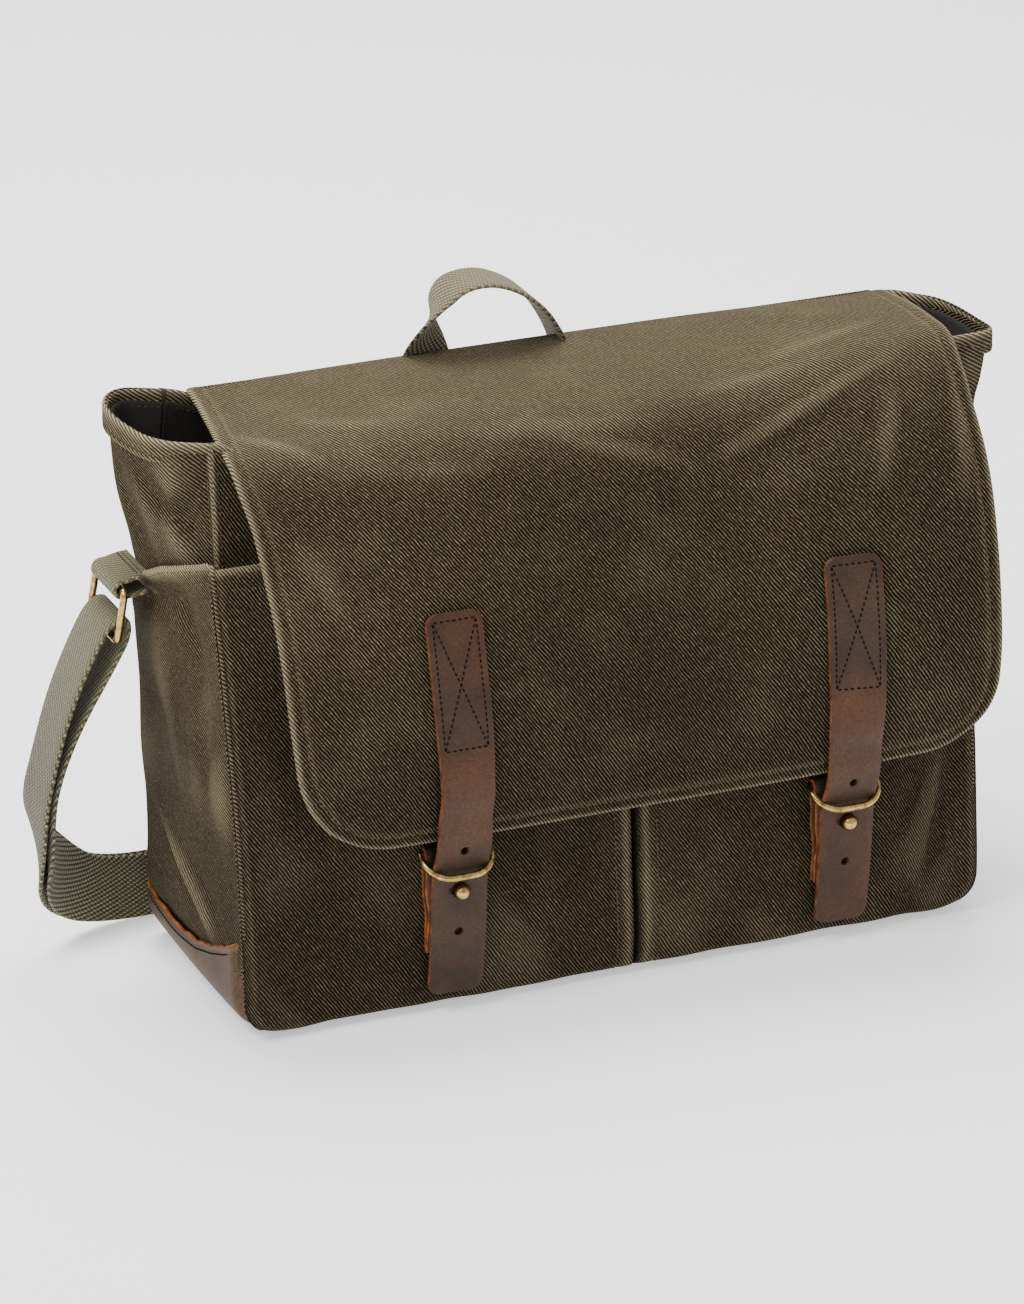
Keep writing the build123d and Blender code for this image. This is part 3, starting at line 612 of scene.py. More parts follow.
def antique_brass():
    """Aged brass: satin, with darker tarnish in patches and fine scratches."""
    paint = Paint("antique_brass")
    place = paint.place()
    tarnish = paint.noise(place, 210.0, 4.0, 0.6)
    scratches = paint.noise(place, 900.0, 3.0, 0.8)
    colour = paint.mix(paint.ramp(tarnish, 0.42, 0.70), rgb(196, 166, 102), rgb(112, 84, 46))
    paint.shader.inputs["Metallic"].default_value = 1.0
    rough = paint.plus(paint.times(scratches, 0.22), 0.14)
    return paint.surface(colour, rough, 0.5, paint.bump(scratches, 0.00012, 0.5))


def thread(name, light, dark):
    """Waxed sewing thread."""
    paint = Paint(name)
    twist = paint.noise(paint.place(), 1300.0, 2.0)
    colour = paint.mix(paint.ramp(twist, 0.35, 0.65), dark, light)
    return paint.surface(colour, 0.8, 0.1, paint.bump(twist, 0.0002, 0.6))


def plain_weave(name, dark, light):
    """Dark cotton lining."""
    paint = Paint(name)
    vector, u, v = paint.flat()
    warp = paint.wave(u, v, 0.0, 0.9)
    weft = paint.wave(u, v, 90.0, 0.9)
    height = paint.times(warp, weft)
    slubs = paint.noise(vector, 0.8, 3.0, 0.7)
    colour = paint.mix(paint.times(height, slubs), dark, light)
    return paint.surface(colour, 0.9, 0.5, paint.bump(height, 0.0003, 0.8))


GROOVE = rgb(8, 7, 4)
RIB = rgb(114, 102, 75)
# pale canvas colour of wear, pale yarn and wax patches, also used for the painted highlight on the flap's
# top
WORN_AND_LIT = rgb(190, 178, 142)
CANVAS = canvas("waxed_canvas", GROOVE, RIB, WORN_AND_LIT)
SIDE_CANVAS = canvas("waxed_canvas_across", GROOVE, RIB, WORN_AND_LIT, degrees=60.0, pitch=1.9)
LINING = plain_weave("cotton_lining", rgb(24, 21, 17), rgb(60, 54, 43))
LEATHER = leather("strap_leather", rgb(38, 25, 15), rgb(74, 51, 33), rgb(122, 70, 34))
BASE_LEATHER = leather("base_leather", rgb(36, 25, 15), rgb(74, 53, 34), rgb(112, 78, 46), 0.6)
STRAP_EDGE = raw_edge("strap_leather_edge", rgb(122, 72, 40), rgb(70, 42, 26))
RAW_EDGE = raw_edge("raw_leather_edge", rgb(166, 92, 42), rgb(92, 48, 22))
STRAP_WEB = webbing("strap_webbing", rgb(26, 25, 13), rgb(158, 153, 112), -28.0)
HANDLE_WEB = webbing("handle_webbing", rgb(26, 23, 14), rgb(168, 160, 120), 38.0, 2.6)
BRASS = antique_brass()
CANVAS_THREAD = thread("canvas_thread", rgb(96, 85, 58), rgb(48, 42, 28))
LEATHER_THREAD = thread("leather_thread", rgb(16, 10, 7), rgb(6, 4, 3))
BOARD = leather("base_board", rgb(92, 74, 52), rgb(122, 100, 70), rgb(140, 116, 84), 0.9)


# ---------------------------------------------------------------- the flap's surface
# lines down the flap, from its back seam to its hem
FLAP_LEFT = [
    (-190, 77.5, 310), (-191, 60, 308.5), (-194, 34, 305.6), (-197, 12, 303), (-198, -6, 299),
    (-197, -19, 288), (-194, -30, 270.6), (-192, -39, 249), (-191, -56, 218), (-190, -70, 182),
    (-189.5, -79, 152), (-189, -80, 124), (-188.5, -78, 105),
]
FLAP_MIDDLE = [
    (8, 77.5, 311), (8, 60, 310.5), (8, 34, 309), (8, 12, 305), (8, -10, 297.5), (8, -27, 284),
    (8, -40, 265), (8, -50, 244), (8, -63, 216), (8, -72.5, 182), (8, -78, 150), (8, -78.5, 123),
    (8, -76, 102.5),
]
FLAP_RIGHT = [
    (207, 77, 309), (209, 68, 312), (209.5, 54, 313.5), (209.5, 33, 315), (209, 7, 316), (209, -11, 315),
    (208, -22, 310), (208, -33, 299), (207, -44, 288), (206, -62, 269), (205, -80, 234), (205, -88, 195),
    (205, -88.5, 150), (204, -80, 107.5),
]
FLAP_ROWS = 240
FLAP_COLUMNS = 170
# the flap's ends on its flat width
FLAP_ENDS = (-190, 206)


def flap_surface():
    """The draped flap: three lines down it, eased into one another across the width."""
    left, middle, right = (even(line, FLAP_ROWS) for line in (FLAP_LEFT, FLAP_MIDDLE, FLAP_RIGHT))
    depth = run_length(middle)[-1]
    share = np.linspace(0, 1, FLAP_COLUMNS)[None, :, None]
    ends = left[:, None] * (1 - share) + right[:, None] * share
    x = ends[..., 0]
    to_left = 1 - smooth(-190, -70, x)
    to_right = smooth(70, 206, x)
    points = np.empty((FLAP_ROWS, FLAP_COLUMNS, 3))
    points[..., 0] = x
    for axis in (1, 2):
        centre = middle[:, None, axis]
        points[..., axis] = (
            centre
            + to_left * (left[:, None, axis] - centre)
            + to_right * (right[:, None, axis] - centre)
        )
    # row 0 is the hem: v is the distance up from the hem
    us = np.linspace(*FLAP_ENDS, FLAP_COLUMNS)
    vs = np.linspace(0, depth, FLAP_ROWS)
    return Surface(us, vs, points[::-1])


def flap_relief(u, v):
    """Gentle bagginess over the whole flap, with its creases."""
    inside = smooth(0, 26, v) * smooth(0, 10, FLAP_DEPTH - v)
    return 1.0 * wobble(u, v, 150, 3) * inside + 0.35 * wobble(u, v, 48, 5) * inside + flap_folds(u, v)


# creases of the flap, with heights measured from its back edge
FLAP_CREASES = (
    ((178, -88), (60, -124), 5.0, 1.5), ((160, -100), (70, -136), 5.5, -1.2),
    ((100, -70), (182, -56), 5.0, 1.2), ((60, -84), (132, -80), 4.5, 1.0),
    ((-184, -60), (-140, -96), 5.0, 1.5), ((-186, -84), (-160, -136), 6.0, -1.4),
    ((190, -124), (172, -196), 6.5, -1.6), ((199, -110), (190, -176), 5.0, 1.4),
    ((-70, -88), (40, -98), 7.0, 1.1), ((-150, -58), (-92, -76), 4.5, 1.1),
    ((-20, -100), (52, -126), 5.0, 1.2), ((168, -100), (146, -160), 6.0, 1.2),
    ((-120, -104), (-52, -112), 5.0, 0.9), ((-172, -120), (-150, -190), 8.0, 1.0),
)


def flap_folds(u, v):
    """Creases on the flap's top and beside its upper corners."""
    return folds(u, v - FLAP_DEPTH, FLAP_CREASES)


flap = flap_surface()
FLAP_DEPTH = flap.vs[-1]
flap.lift(flap_relief)
# distances of the grid lines beside a hem, and of the hem's stitches
HEM_LINES = np.array([0.0, 0.5, 1.4, 3.0, 4.6, 5.5, 6.2, 6.9, 7.8, 9.5])
HEM_DEPTH = 6.2


def spaced(low, high, step, low_hem=True, high_hem=True):
    """Grid lines from low to high, closer together beside a hem."""
    first = low + HEM_LINES if low_hem else np.array([low])
    last = high - HEM_LINES[::-1] if high_hem else np.array([high])
    count = max(2, int((last[0] - first[-1]) / step) + 1)
    return np.concatenate([first, np.linspace(first[-1], last[0], count)[1:-1], last])


def to_edge(u, v, outline):
    """Distance from each grid point to a line of boundary points."""
    points = np.stack([u.ravel(), v.ravel()], axis=1)
    best = np.full(len(points), 1e9)
    for start in range(0, len(points), 4000):
        part = points[start:start + 4000]
        gap = np.linalg.norm(part[:, None] - outline[None], axis=2)
        best[start:start + 4000] = gap.min(axis=1)
    return best.reshape(u.shape)


def hem_height(distance, depth=HEM_DEPTH, fat=0.5):
    """A folded, sewn hem seen in section: full at the edge, drawn in at the stitches."""
    return fat * (1 - smooth(depth + 0.8, depth + 3.2, distance)) - 0.42 * hill(distance, depth, 1.0)


def rounded_sheet(us, v_low, v_high, radii, step, fine_top=True, rise=None):
    """Flat grid of a sheet whose two lower corners are rounded; radii are left and right.

    The height that a corner is measured in is rise(v), or the distance from the lower edge.
    """
    radius = max(radii) * (1.0 if rise is None else 1.6)
    bends = v_low + radius * (1 - np.cos(np.linspace(0, math.pi / 2, 24)))
    above = spaced(v_low + radius, v_high, step, False, fine_top)[1:]
    vs = np.concatenate([bends, above])
    low, high = us[0], us[-1]
    share = (us - low) / (high - low)
    u = np.empty((len(vs), len(us)))
    for row, v in enumerate(vs):
        edges = []
        for corner in radii:
            down = max(0.0, corner - (v - v_low if rise is None else float(rise(v))))
            edges.append(corner - math.sqrt(max(corner**2 - down**2, 0.0)))
        u[row] = low + edges[0] + (high - edges[1] - low - edges[0]) * share
    return u, np.repeat(vs[:, None], len(us), axis=1)


def outline_of(u, v):
    """Boundary points of a flat grid, closely spaced: left side, bottom and right side."""
    line = np.concatenate([
        np.stack([u[::-1, 0], v[::-1, 0]], axis=1),
        np.stack([u[0], v[0]], axis=1),
        np.stack([u[:, -1], v[:, -1]], axis=1),
    ])
    padded = np.concatenate([line, np.zeros((len(line), 1))], axis=1)
    return even_line(padded, 1.5)[:, :2]


def inset_path(outline, inset):
    """The outline moved inward, for a row of stitches."""
    step = np.gradient(outline, axis=0)
    inward = unit(np.stack([-step[:, 1], step[:, 0]], axis=1))
    return outline + inward * inset


# radii of the flap's lower corners, left and right
FLAP_CORNERS = (52.0, 38.0)
flap_u, flap_v = rounded_sheet(spaced(*FLAP_ENDS, 3.2), 0.0, FLAP_DEPTH, FLAP_CORNERS, 3.0, False)
flap_edge = outline_of(flap_u, flap_v)
edge_gap = to_edge(flap_u, flap_v, flap_edge)


def make_flap():
    """The flap, its lining face and its stitches."""
    height = 1.2 + hem_height(edge_gap)
    height = height + 0.25 * hill(edge_gap, 8.5, 1.6) * wobble(flap_u, flap_v, 14, 8)
    outer, _ = flap.at(flap_u, flap_v, height)
    inner, _ = flap.at(flap_u, flap_v, -1.2 - 0.3 * (1 - smooth(5, 9, edge_gap)))
    wear_and_light = 0.62 * hill(edge_gap, 0, 1.4) + 0.14 * hill(edge_gap, 7.6, 1.2)
    # painted highlight: the top of the flap is made paler, as if lit from above, on top of the real wear of
    # its edges
    top_light = 0.21 * smooth(FLAP_DEPTH - 120, FLAP_DEPTH - 70, flap_v)
    streaks = np.clip(flap_folds(flap_u, flap_v) - 0.3, 0, 1) * 0.22
    wear_and_light = np.clip(wear_and_light + top_light + streaks, 0, 1)
    flat = np.stack([flap_u, flap_v], axis=2)
    piece = shell("flap", outer, inner, flat, [CANVAS, LINING], wear_and_light, 0, 1, rim_wear=0.3)
    path = inset_path(flap_edge, HEM_DEPTH)
    keep = path[:, 1] < FLAP_DEPTH - 3
    points, normals = flap.at(path[keep, 0], path[keep, 1], 1.25)
    sewing = stitches("flap_stitches", [stitch_row(points, normals)], CANVAS_THREAD, 0.45)
    return piece, sewing


def bend_flap(piece):
    """Bake a flap piece's transform into its mesh."""
    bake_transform(piece)


flap_piece, flap_sewing = make_flap()
bend_flap(flap_piece)
bend_flap(flap_sewing)
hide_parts("flap_top", "flap_top_lining", "flap_front", "flap_front_lining")


# ---------------------------------------------------------------- the bag's body
# flat widths of the panels, and the height of their highest row
LEFT_WIDTH = 138.0
RIGHT_WIDTH = 134.0
BODY_WIDTH = 408.0
ROWS_TOP = 308.0
CLOTH = 1.5
# rows of the left end: height, and points in x and y from the back seam to the front seam
GUSSET_ROWS = [
    (3, [(-212, 78), (-213, 72), (-213, 48), (-213, 16), (-213, -18), (-212, -46)]),
    (130, [(-213, 78), (-215, 74), (-217, 54), (-217, 22), (-215, -10), (-213, -35)]),
    (205, [(-212, 78), (-218, 76), (-222, 58), (-221, 28), (-217, -2), (-212, -24)]),
    (232, [(-211, 78), (-222, 78), (-229, 62), (-226, 32), (-219, 4), (-210, -18)]),
    (256, [(-209, 77.5), (-223, 79), (-233, 64), (-229, 36), (-221, 10), (-208, -11)]),
    (280, [(-207, 77), (-225, 81), (-237, 64), (-232, 38), (-222, 14), (-206, -3)]),
    (308, [(-205, 75), (-226, 82.5), (-240, 64), (-234, 38), (-223, 18), (-204, 6)]),
]


def pinched(surface):
    """Draw a surface's lower right front corner in, as the slumped bag stands."""
    x, y, z = np.moveaxis(surface.points, 2, 0)
    surface.points[..., 0] = x - pinch(x, y, z)
    surface.find_normals()
    return surface


def pinch(x, y, z):
    """How far a point near the lower right front corner is drawn in."""
    return 11.0 * smooth(60, -45, y) * smooth(150, 205, x) * (1 - smooth(215, 255, z))


# rows of the right end, from the front seam to the back seam
RIGHT_GUSSET_ROWS = [
    (3, [(212, -46), (213, -18), (213, 16), (213, 48), (213, 72), (212, 78)]),
    (130, [(213, -35), (215, -10), (216, 22), (216, 54), (215, 74), (213, 78)]),
    (205, [(212, -24), (216, -10), (218, 20), (218, 54), (216, 74), (212, 78)]),
    (232, [
        (210, -18), (217, -13), (221, -6), (222, 4), (221, 24), (219, 46), (216, 66), (213, 75), (211, 78),
    ]),
    (256, [
        (208, -11), (220, -8), (228, -4), (229, 3), (227, 22), (223, 44), (218, 63), (213, 74), (209, 77.5),
    ]),
    (280, [
        (206, -4), (221, -3), (234, -0.5), (236.5, 4), (234, 23), (227, 43), (220, 61), (213, 72), (207, 77),
    ]),
    (308, [
        (204, 1), (218, 1.5), (241, 3.5), (244.5, 8), (240, 27), (231, 44), (221, 57), (212, 69), (205, 75),
    ]),
]


def mirrored(rows, bulge):
    """Rows for the right end: mirrored, run from front to back, with a smaller bulge."""
    return [(z, [(-(x + 212) * bulge + 212, y) for x, y in line][::-1]) for z, line in rows]


def main_front_row(z):
    """Front face of the bag's main body: depth at a height."""
    return float(np.interp(z, (3, 60, 130, 205, 256, 280, 308), (-46, -42, -35, -24, -11, -3, 6)))


def front_rows(left_rows, right_rows):
    """Rows of the front panel, from the left seam to the right seam."""
    rows = []
    for (z, left), (_, right) in zip(left_rows, right_rows):
        y = main_front_row(z)
        a, b = left[-1], right[0]
        middle = [(-100, y - 1.5), (0, y - 2.0), (100, y - 1.5)]
        rows.append((z, [a, (a[0] + 14, y - 0.6), *middle, (b[0] - 14, y - 0.6), b]))
    return rows


def back_rows(left_rows, right_rows):
    """Rows of the back panel, run from the right seam to the left seam."""
    rows = []
    for (z, left), (_, right) in zip(left_rows, right_rows):
        a, b = right[-1], left[0]
        y = (a[1] + b[1]) / 2
        middle = [(100, y + 0.8), (0, y + 0.6), (-100, y + 0.8)]
        rows.append((z, [a, (a[0] - 14, y + 0.5), *middle, (b[0] + 14, y + 0.5), b]))
    return rows


left_gusset = lofted(GUSSET_ROWS, LEFT_WIDTH)
right_gusset = pinched(lofted(RIGHT_GUSSET_ROWS, RIGHT_WIDTH))
front_body = pinched(lofted(front_rows(GUSSET_ROWS, RIGHT_GUSSET_ROWS), BODY_WIDTH, 220))
back_body = lofted(back_rows(GUSSET_ROWS, RIGHT_GUSSET_ROWS), BODY_WIDTH, 220)
GUSSET_FOLDS = (
    ((78, 282), (128, 262), 10, -2.8), ((70, 300), (84, 240), 9, 1.6), ((96, 270), (128, 236), 10, 1.8),
    ((20, 270), (40, 236), 10, -1.4), ((52, 300), (62, 236), 8, -1.2), ((112, 300), (104, 258), 7, 1.3),
)


def gusset_relief(u, v):
    """The dent and soft folds in the left end above its pocket panel."""
    relief = 1.35 * folds(u, v, GUSSET_FOLDS) + 0.9 * wobble(u, v, 60, 21)
    return relief * smooth(0, 14, u) * smooth(0, 14, RIGHT_WIDTH - u)


def back_relief(u, v):
    """Slow unevenness of the back panel, set in a little between its seams."""
    return (0.8 * wobble(u, v, 120, 31) - 0.8) * smooth(0, 20, u) * smooth(0, 20, BODY_WIDTH - u)


left_gusset.lift(gusset_relief)
right_gusset.lift(lambda u, v: 0.5 * gusset_relief(RIGHT_WIDTH - u, v))
back_body.lift(back_relief)


def rim_height(x, y):
    """Height of the mouth: high at the back and the ends, lower in front, under the flap."""
    back = smooth(30, 76, y) * smooth(150, 215, -x) * 7.0 + smooth(10, 50, y) * smooth(192, 218, x) * 6.0
    dip = (1 - smooth(-6, 40, y)) * (1 - smooth(184, 203, np.abs(x))) * 8.0
    under = smooth(60, 76, y) * (1 - smooth(180, 205, np.abs(x))) * 4.0
    return 307.5 + back - dip - under


# a height close to the mouth, where the panels' outline is read
NEAR_MOUTH = 300.0


def raised_grid(surface, us, low, step):
    """Flat grid and points of a body panel, from a low line up to the mouth."""
    share = np.linspace(0, 1, int(290 / step))
    rough, _ = surface.at(us, np.full(len(us), NEAR_MOUTH))
    top = rim_height(rough[:, 0], rough[:, 1])
    return np.meshgrid(us, share)[0], low + (top[None] - low) * share[:, None]


def lifted(surface, u, v, lift):
    """Surface point at a height that may lie a little above its last row.

    The bottom is drawn in, to stay inside the leather base.
    """
    points, normals = surface.at(u, np.minimum(v, ROWS_TOP), lift)
    over = np.maximum(v - ROWS_TOP, 0)
    points[..., 0] *= 1 - 0.024 * (1 - smooth(6, 24, v))
    points[..., 2] += over
    points[..., 0] += np.sign(points[..., 0]) * over * 0.12
    return points, normals


PANELS = {
    "left_gusset": (left_gusset, LEFT_WIDTH, SIDE_CANVAS),
    "front_panel": (front_body, BODY_WIDTH, CANVAS),
    "right_gusset": (right_gusset, RIGHT_WIDTH, SIDE_CANVAS),
    "back_panel": (back_body, BODY_WIDTH, CANVAS),
}
SEAM_LINES = np.array([0.0, 0.8, 1.8, 3.0, 4.4, 6.0])
SEAM_INSET = 3.2


def seam_spaced(width, step):
    """Grid lines across a panel, closer together beside its seams."""
    count = int((width - 12) / step) + 1
    return np.concatenate([SEAM_LINES, np.linspace(6, width - 6, count)[1:-1], width - SEAM_LINES[::-1]])


def make_panel(name, surface, width, material):
    """One canvas panel and its lining; gives back the lining and the panel's rows of stitches."""
    u, v = raised_grid(surface, seam_spaced(width, 4.0), 4.0, 4.0)
    edge = np.minimum(u, width - u)
    height = 0.9 * hill(edge, 0.6, 1.5) - 0.5 * hill(edge, SEAM_INSET, 1.2)
    outer, _ = lifted(surface, u, v, height)
    inner, _ = lifted(surface, u, v, -CLOTH)
    wear_and_light = 0.5 * hill(edge, 0.5, 1.6) + 0.02
    if "gusset" in name:
        wear_and_light = wear_and_light + np.clip(gusset_relief(u if "left" in name else width - u, v), 0, 2) * 0.16
    flat = np.stack([u, v], axis=2)
    piece = shell(name, outer, inner, flat, [material], wear_and_light)
    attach(piece, "bag")
    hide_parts(name)
    seams = []
    for inset in (SEAM_INSET, width - SEAM_INSET):
        seams.append(stitch_row(*lifted(surface, np.full(140, inset), np.linspace(60, 294, 140), 0.0)))
    below_hem = np.minimum(v, v[-1:] - 6.0)
    outer, _ = lifted(surface, u, below_hem, -2.4)
    inner, _ = lifted(surface, u, below_hem, -2.9)
    return shell(f"lining_{name}", outer, inner, flat, [LINING]), seams


def mouth_line(surface, width):
    """Points and outward directions along a panel's part of the mouth."""
    u = np.linspace(0, width, int(width / 2.5))[:-1]
    rough, _ = lifted(surface, u, np.full(len(u), NEAR_MOUTH), 0.0)
    return lifted(surface, u, rim_height(rough[:, 0], rough[:, 1]), 0.0)


def make_body():
    """Canvas panels with their lining; gives back the seams and the line round the mouth."""
    seams = []
    lining_parts = []
    rim_parts = []
    for name, (surface, width, material) in PANELS.items():
        lining_part, rows = make_panel(name, surface, width, material)
        lining_parts.append(lining_part)
        seams += rows
        rim_parts.append(mouth_line(surface, width))
    floor_u, floor_v = np.meshgrid(np.linspace(-200, 200, 60), np.linspace(-42, 76, 20))
    level = 8.4 + 0.5 * wobble(floor_u, floor_v, 80, 41)
    floor = np.stack([floor_u, floor_v, level], axis=2)
    lining_parts.append(shell("lining_floor", floor, floor - (0, 0, 0.6), floor[..., :2], [LINING]))
    lining = join("lining", lining_parts)
    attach(lining, "bag")
    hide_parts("lining")
    path = np.concatenate([part[0] for part in rim_parts])
    out = np.concatenate([part[1] for part in rim_parts])
    out[:, 2] = 0
    out = unit(out)
    for _ in range(3):
        out = unit(out + 0.6 * (np.roll(out, 1, axis=0) + np.roll(out, -1, axis=0)))
    return seams, path, out


body_seams, rim_path, rim_out = make_body()
# section of the mouth hem: outward from the line round the mouth, and up
HEM_SECTION = [
    (0.5, -12.5), (0.8, -12.0), (0.9, -10.4), (0.5, -9.6), (0.5, -9.0), (0.9, -8.0), (0.9, -4.0),
    (0.8, -1.0), (0.3, 0.1), (-0.7, 0.4), (-1.7, 0.1), (-2.2, -1.0), (-2.3, -4.0), (-2.3, -8.0),
    (-2.0, -9.2), (-2.3, -10.4), (-2.3, -12.0), (-1.8, -12.5), (-1.0, -12.6), (0.0, -12.6),
]


def make_mouth_hem():
    """The double fold round the mouth, with a row of stitches inside and out."""
    section = np.array(HEM_SECTION)
    section[:, 0] += 0.3
    path = np.concatenate([rim_path, rim_path[:1]])
    out = np.concatenate([rim_out, rim_out[:1]])
    up = steady((0, 0, 1), len(path))
    length = run_length(path)
    waver = 0.25 * wobble(length, np.zeros(len(path)), 40, 51)[:, None, None]
    across = section[None, :, 0:1] + waver * 0.3
    points = path[:, None] + out[:, None] * across + up[:, None] * section[None, :, 1:2]
    rows, columns = points.shape[:2]
    # the last row is the first one again
    index = np.arange(rows * columns).reshape(rows, columns)
    index[-1] = index[0]
    index = np.concatenate([index, index[:, :1]], axis=1)
    faces = index.ravel()[grid_faces(rows, columns + 1)][:, ::-1]
    round_section = run_length(np.concatenate([section, section[:1]]))[:-1]
    flat = np.stack(np.broadcast_arrays(length[:, None], round_section[None]), axis=2)
    wear_and_light = 0.22 + 0.7 * hill(section[:, 1], 0.4, 2.2) + 0.2 * hill(section[:, 1], -12, 1.2)
    used = rows - 1
    hem = make_object(
        "mouth_hem", points[:used].reshape(-1, 3), faces, flat[:used].reshape(-1, 2),
        [SIDE_CANVAS], None, np.tile(wear_and_light, used),
    )
    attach(hem, "bag")
    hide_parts("mouth_hem")
    sewing = []
    for offset, sign in ((1.0, 1), (-2.3, -1)):
        row = path + out * offset + up * -9.3
        sewing.append(stitch_row(row, out * sign))
    return sewing


body_seams += make_mouth_hem()


# ---------------------------------------------------------------- front pockets and side panels
# front of the pockets in y and z, from under the bag up to their hem
POCKET_LINE = [
    (-30, 1.6), (-50, 1.6), (-60, 2.0), (-66.2, 4.8), (-69.2, 11), (-70.2, 22), (-69.4, 40), (-67.2, 62),
    (-63.4, 98), (-57.5, 132), (-50, 165), (-41.5, 202), (-34.5, 230), (-29.5, 252),
]
POCKET_HALF = 218.0
# middle of the slit between the pockets, and half its width
SLIT_X = 5.0
SLIT_GAP = 1.7
POCKET_DEPTH = run_length(np.array([(0, y, z) for y, z in POCKET_LINE], float))[-1]


def pocket_surface(side):
    """Front of one pocket: u runs to the right; by the slit it turns in and runs back."""
    line = even([(0, y, z) for y, z in POCKET_LINE], 200)
    slit_edge = SLIT_X + side * SLIT_GAP
    radius = 3.0
    turn = np.linspace(0, math.pi / 2, 8)
    # distance from the slit edge outward (x) and back from the front face (y)
    flat_x = np.linspace(POCKET_HALF - side * SLIT_X - SLIT_GAP, radius, 110)
    x_out = np.concatenate([flat_x, radius - radius * np.sin(turn)[1:], np.zeros(6)])
    y_back = np.concatenate([
        np.zeros(110), radius - radius * np.cos(turn)[1:], radius + np.linspace(2, 15, 6),
    ])
    run = run_length(np.stack([x_out, y_back, 0 * x_out], axis=1))
    if side > 0:
        x_out, y_back = x_out[::-1], y_back[::-1]
        run = run[-1] - run[::-1]
    x = slit_edge + side * x_out
    points = np.empty((len(line), len(x), 3))
    points[..., 0] = x[None]
    points[..., 1] = line[:, 1:2] + y_back[None] * smooth(-2, 20, line[:, 2:3])
    points[..., 2] = line[:, 2:3]
    us = np.linspace(0, run[-1], 240)
    even_points = np.array([sampled(us, run, row) for row in points])
    return pinched(Surface(us, np.linspace(0, POCKET_DEPTH, len(line)), even_points))


# drag folds of the left (-1) and the right (1) pocket, measured from the bag's outer corner
POCKET_FOLDS = {
    -1: (((10, 70), (34, 34), 8, 1.4), ((22, 76), (48, 40), 8, -1.2), ((150, 112), (178, 60), 10, -1.2)),
    1: (((10, 138), (34, 62), 6, -3.0), ((22, 136), (48, 66), 7, 2.2), ((36, 124), (64, 84), 7, -1.8)),
}


def pocket_relief(side, width):
    """Soft fullness of a pocket and the drag folds of its lower corner."""
    def relief(u, v):
        outer = u if side < 0 else width - u
        edge = np.minimum(u, width - u)
        amount = 1.0 * wobble(u, v, 110, 60 + side) * smooth(4, 30, edge) * smooth(20, 60, v)
        amount = amount + 0.35 * wobble(u, v, 40, 70 + side) * smooth(6, 24, edge)
        return amount + folds(outer, v, POCKET_FOLDS[side])
    return relief


# flat width of the part of a pocket that turns into the slit
SLIT_TURN = 21.0


def from_slit(width, side, distance):
    """Flat place at a distance from the slit's edge, on a pocket of a flat width."""
    return width - SLIT_TURN - distance if side < 0 else SLIT_TURN + distance


def pocket_stitches(surface, side):
    """Two rows along a pocket's hem and one beside the slit."""
    count = 160
    width = surface.us[-1]
    ends = sorted((3.0 if side < 0 else width - 3.0, from_slit(width, side, 1)))
    rows = []
    for depth in (4.0, 11.0):
        level = np.full(count, POCKET_DEPTH - depth)
        rows.append(stitch_row(*surface.at(np.linspace(*ends, count), level, 0.25)))
    climb = np.linspace(30, POCKET_DEPTH - 4, count)
    rows.append(stitch_row(*surface.at(np.full(count, from_slit(width, side, 6)), climb, 0.0)))
    return rows


def make_pocket(side, name):
    """One full-height front pocket with a hemmed, double-stitched top."""
    surface = pocket_surface(side)
    width = surface.us[-1]
    relief = pocket_relief(side, width)
    surface.lift(relief)
    # the outer lower corner is round, and the one at the slit is square
    corner = 24.0
    square = 0.001
    us = spaced(0, width, 3.6)
    radii = (corner, square) if side < 0 else (square, corner)
    lift_start = 20.0
    middle = surface.points[:, surface.points.shape[1] // 2, 2]

    def rise(v):
        """Height above the floor at a distance up the pocket."""
        return np.interp(v, surface.vs, middle)

    u, v = rounded_sheet(us, lift_start, POCKET_DEPTH, radii, 3.4, True, rise)
    u_outer = u if side < 0 else width - u
    above = rise(v)
    seam = np.hypot(np.maximum(corner - u_outer, 0), np.maximum(corner - above, 0))
    seam_gap = np.minimum(u_outer, np.where(above < corner, np.abs(corner - seam), 99))
    slit_gap = np.abs(from_slit(width, side, 0) - u)
    top_gap = POCKET_DEPTH - v
    height = hem_height(top_gap, 11.0, 0.6) + 0.5 * hill(seam_gap, 5.5, 2.5)
    height = height - 0.35 * hill(slit_gap, 6.0, 1.0)
    # the cloth rolls in towards the seam
    rolled = np.clip(1 - seam_gap / 6.0, 0, 1)
    drop = 3.0 * (1 - np.sqrt(1 - rolled**2))
    outer, _ = surface.at(u, v, height - drop)
    inner, _ = surface.at(u, v, -CLOTH)
    wear_and_light = 0.6 * hill(top_gap, 0, 2.5) + 0.10 * hill(seam_gap, 4.5, 1.6) + 0.35 * hill(slit_gap, 0.5, 1.8)
    wear_and_light = wear_and_light + 0.10 * np.clip(relief(u, v), 0, 1.5)
    flat = np.stack([u + side * drop, v], axis=2)
    piece = shell(name, outer, inner, flat, [CANVAS], np.clip(wear_and_light, 0, 1))
    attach(piece, "bag")
    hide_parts(name)
    return pocket_stitches(surface, side)


body_seams += make_pocket(-1, "left_pocket") + make_pocket(1, "right_pocket")


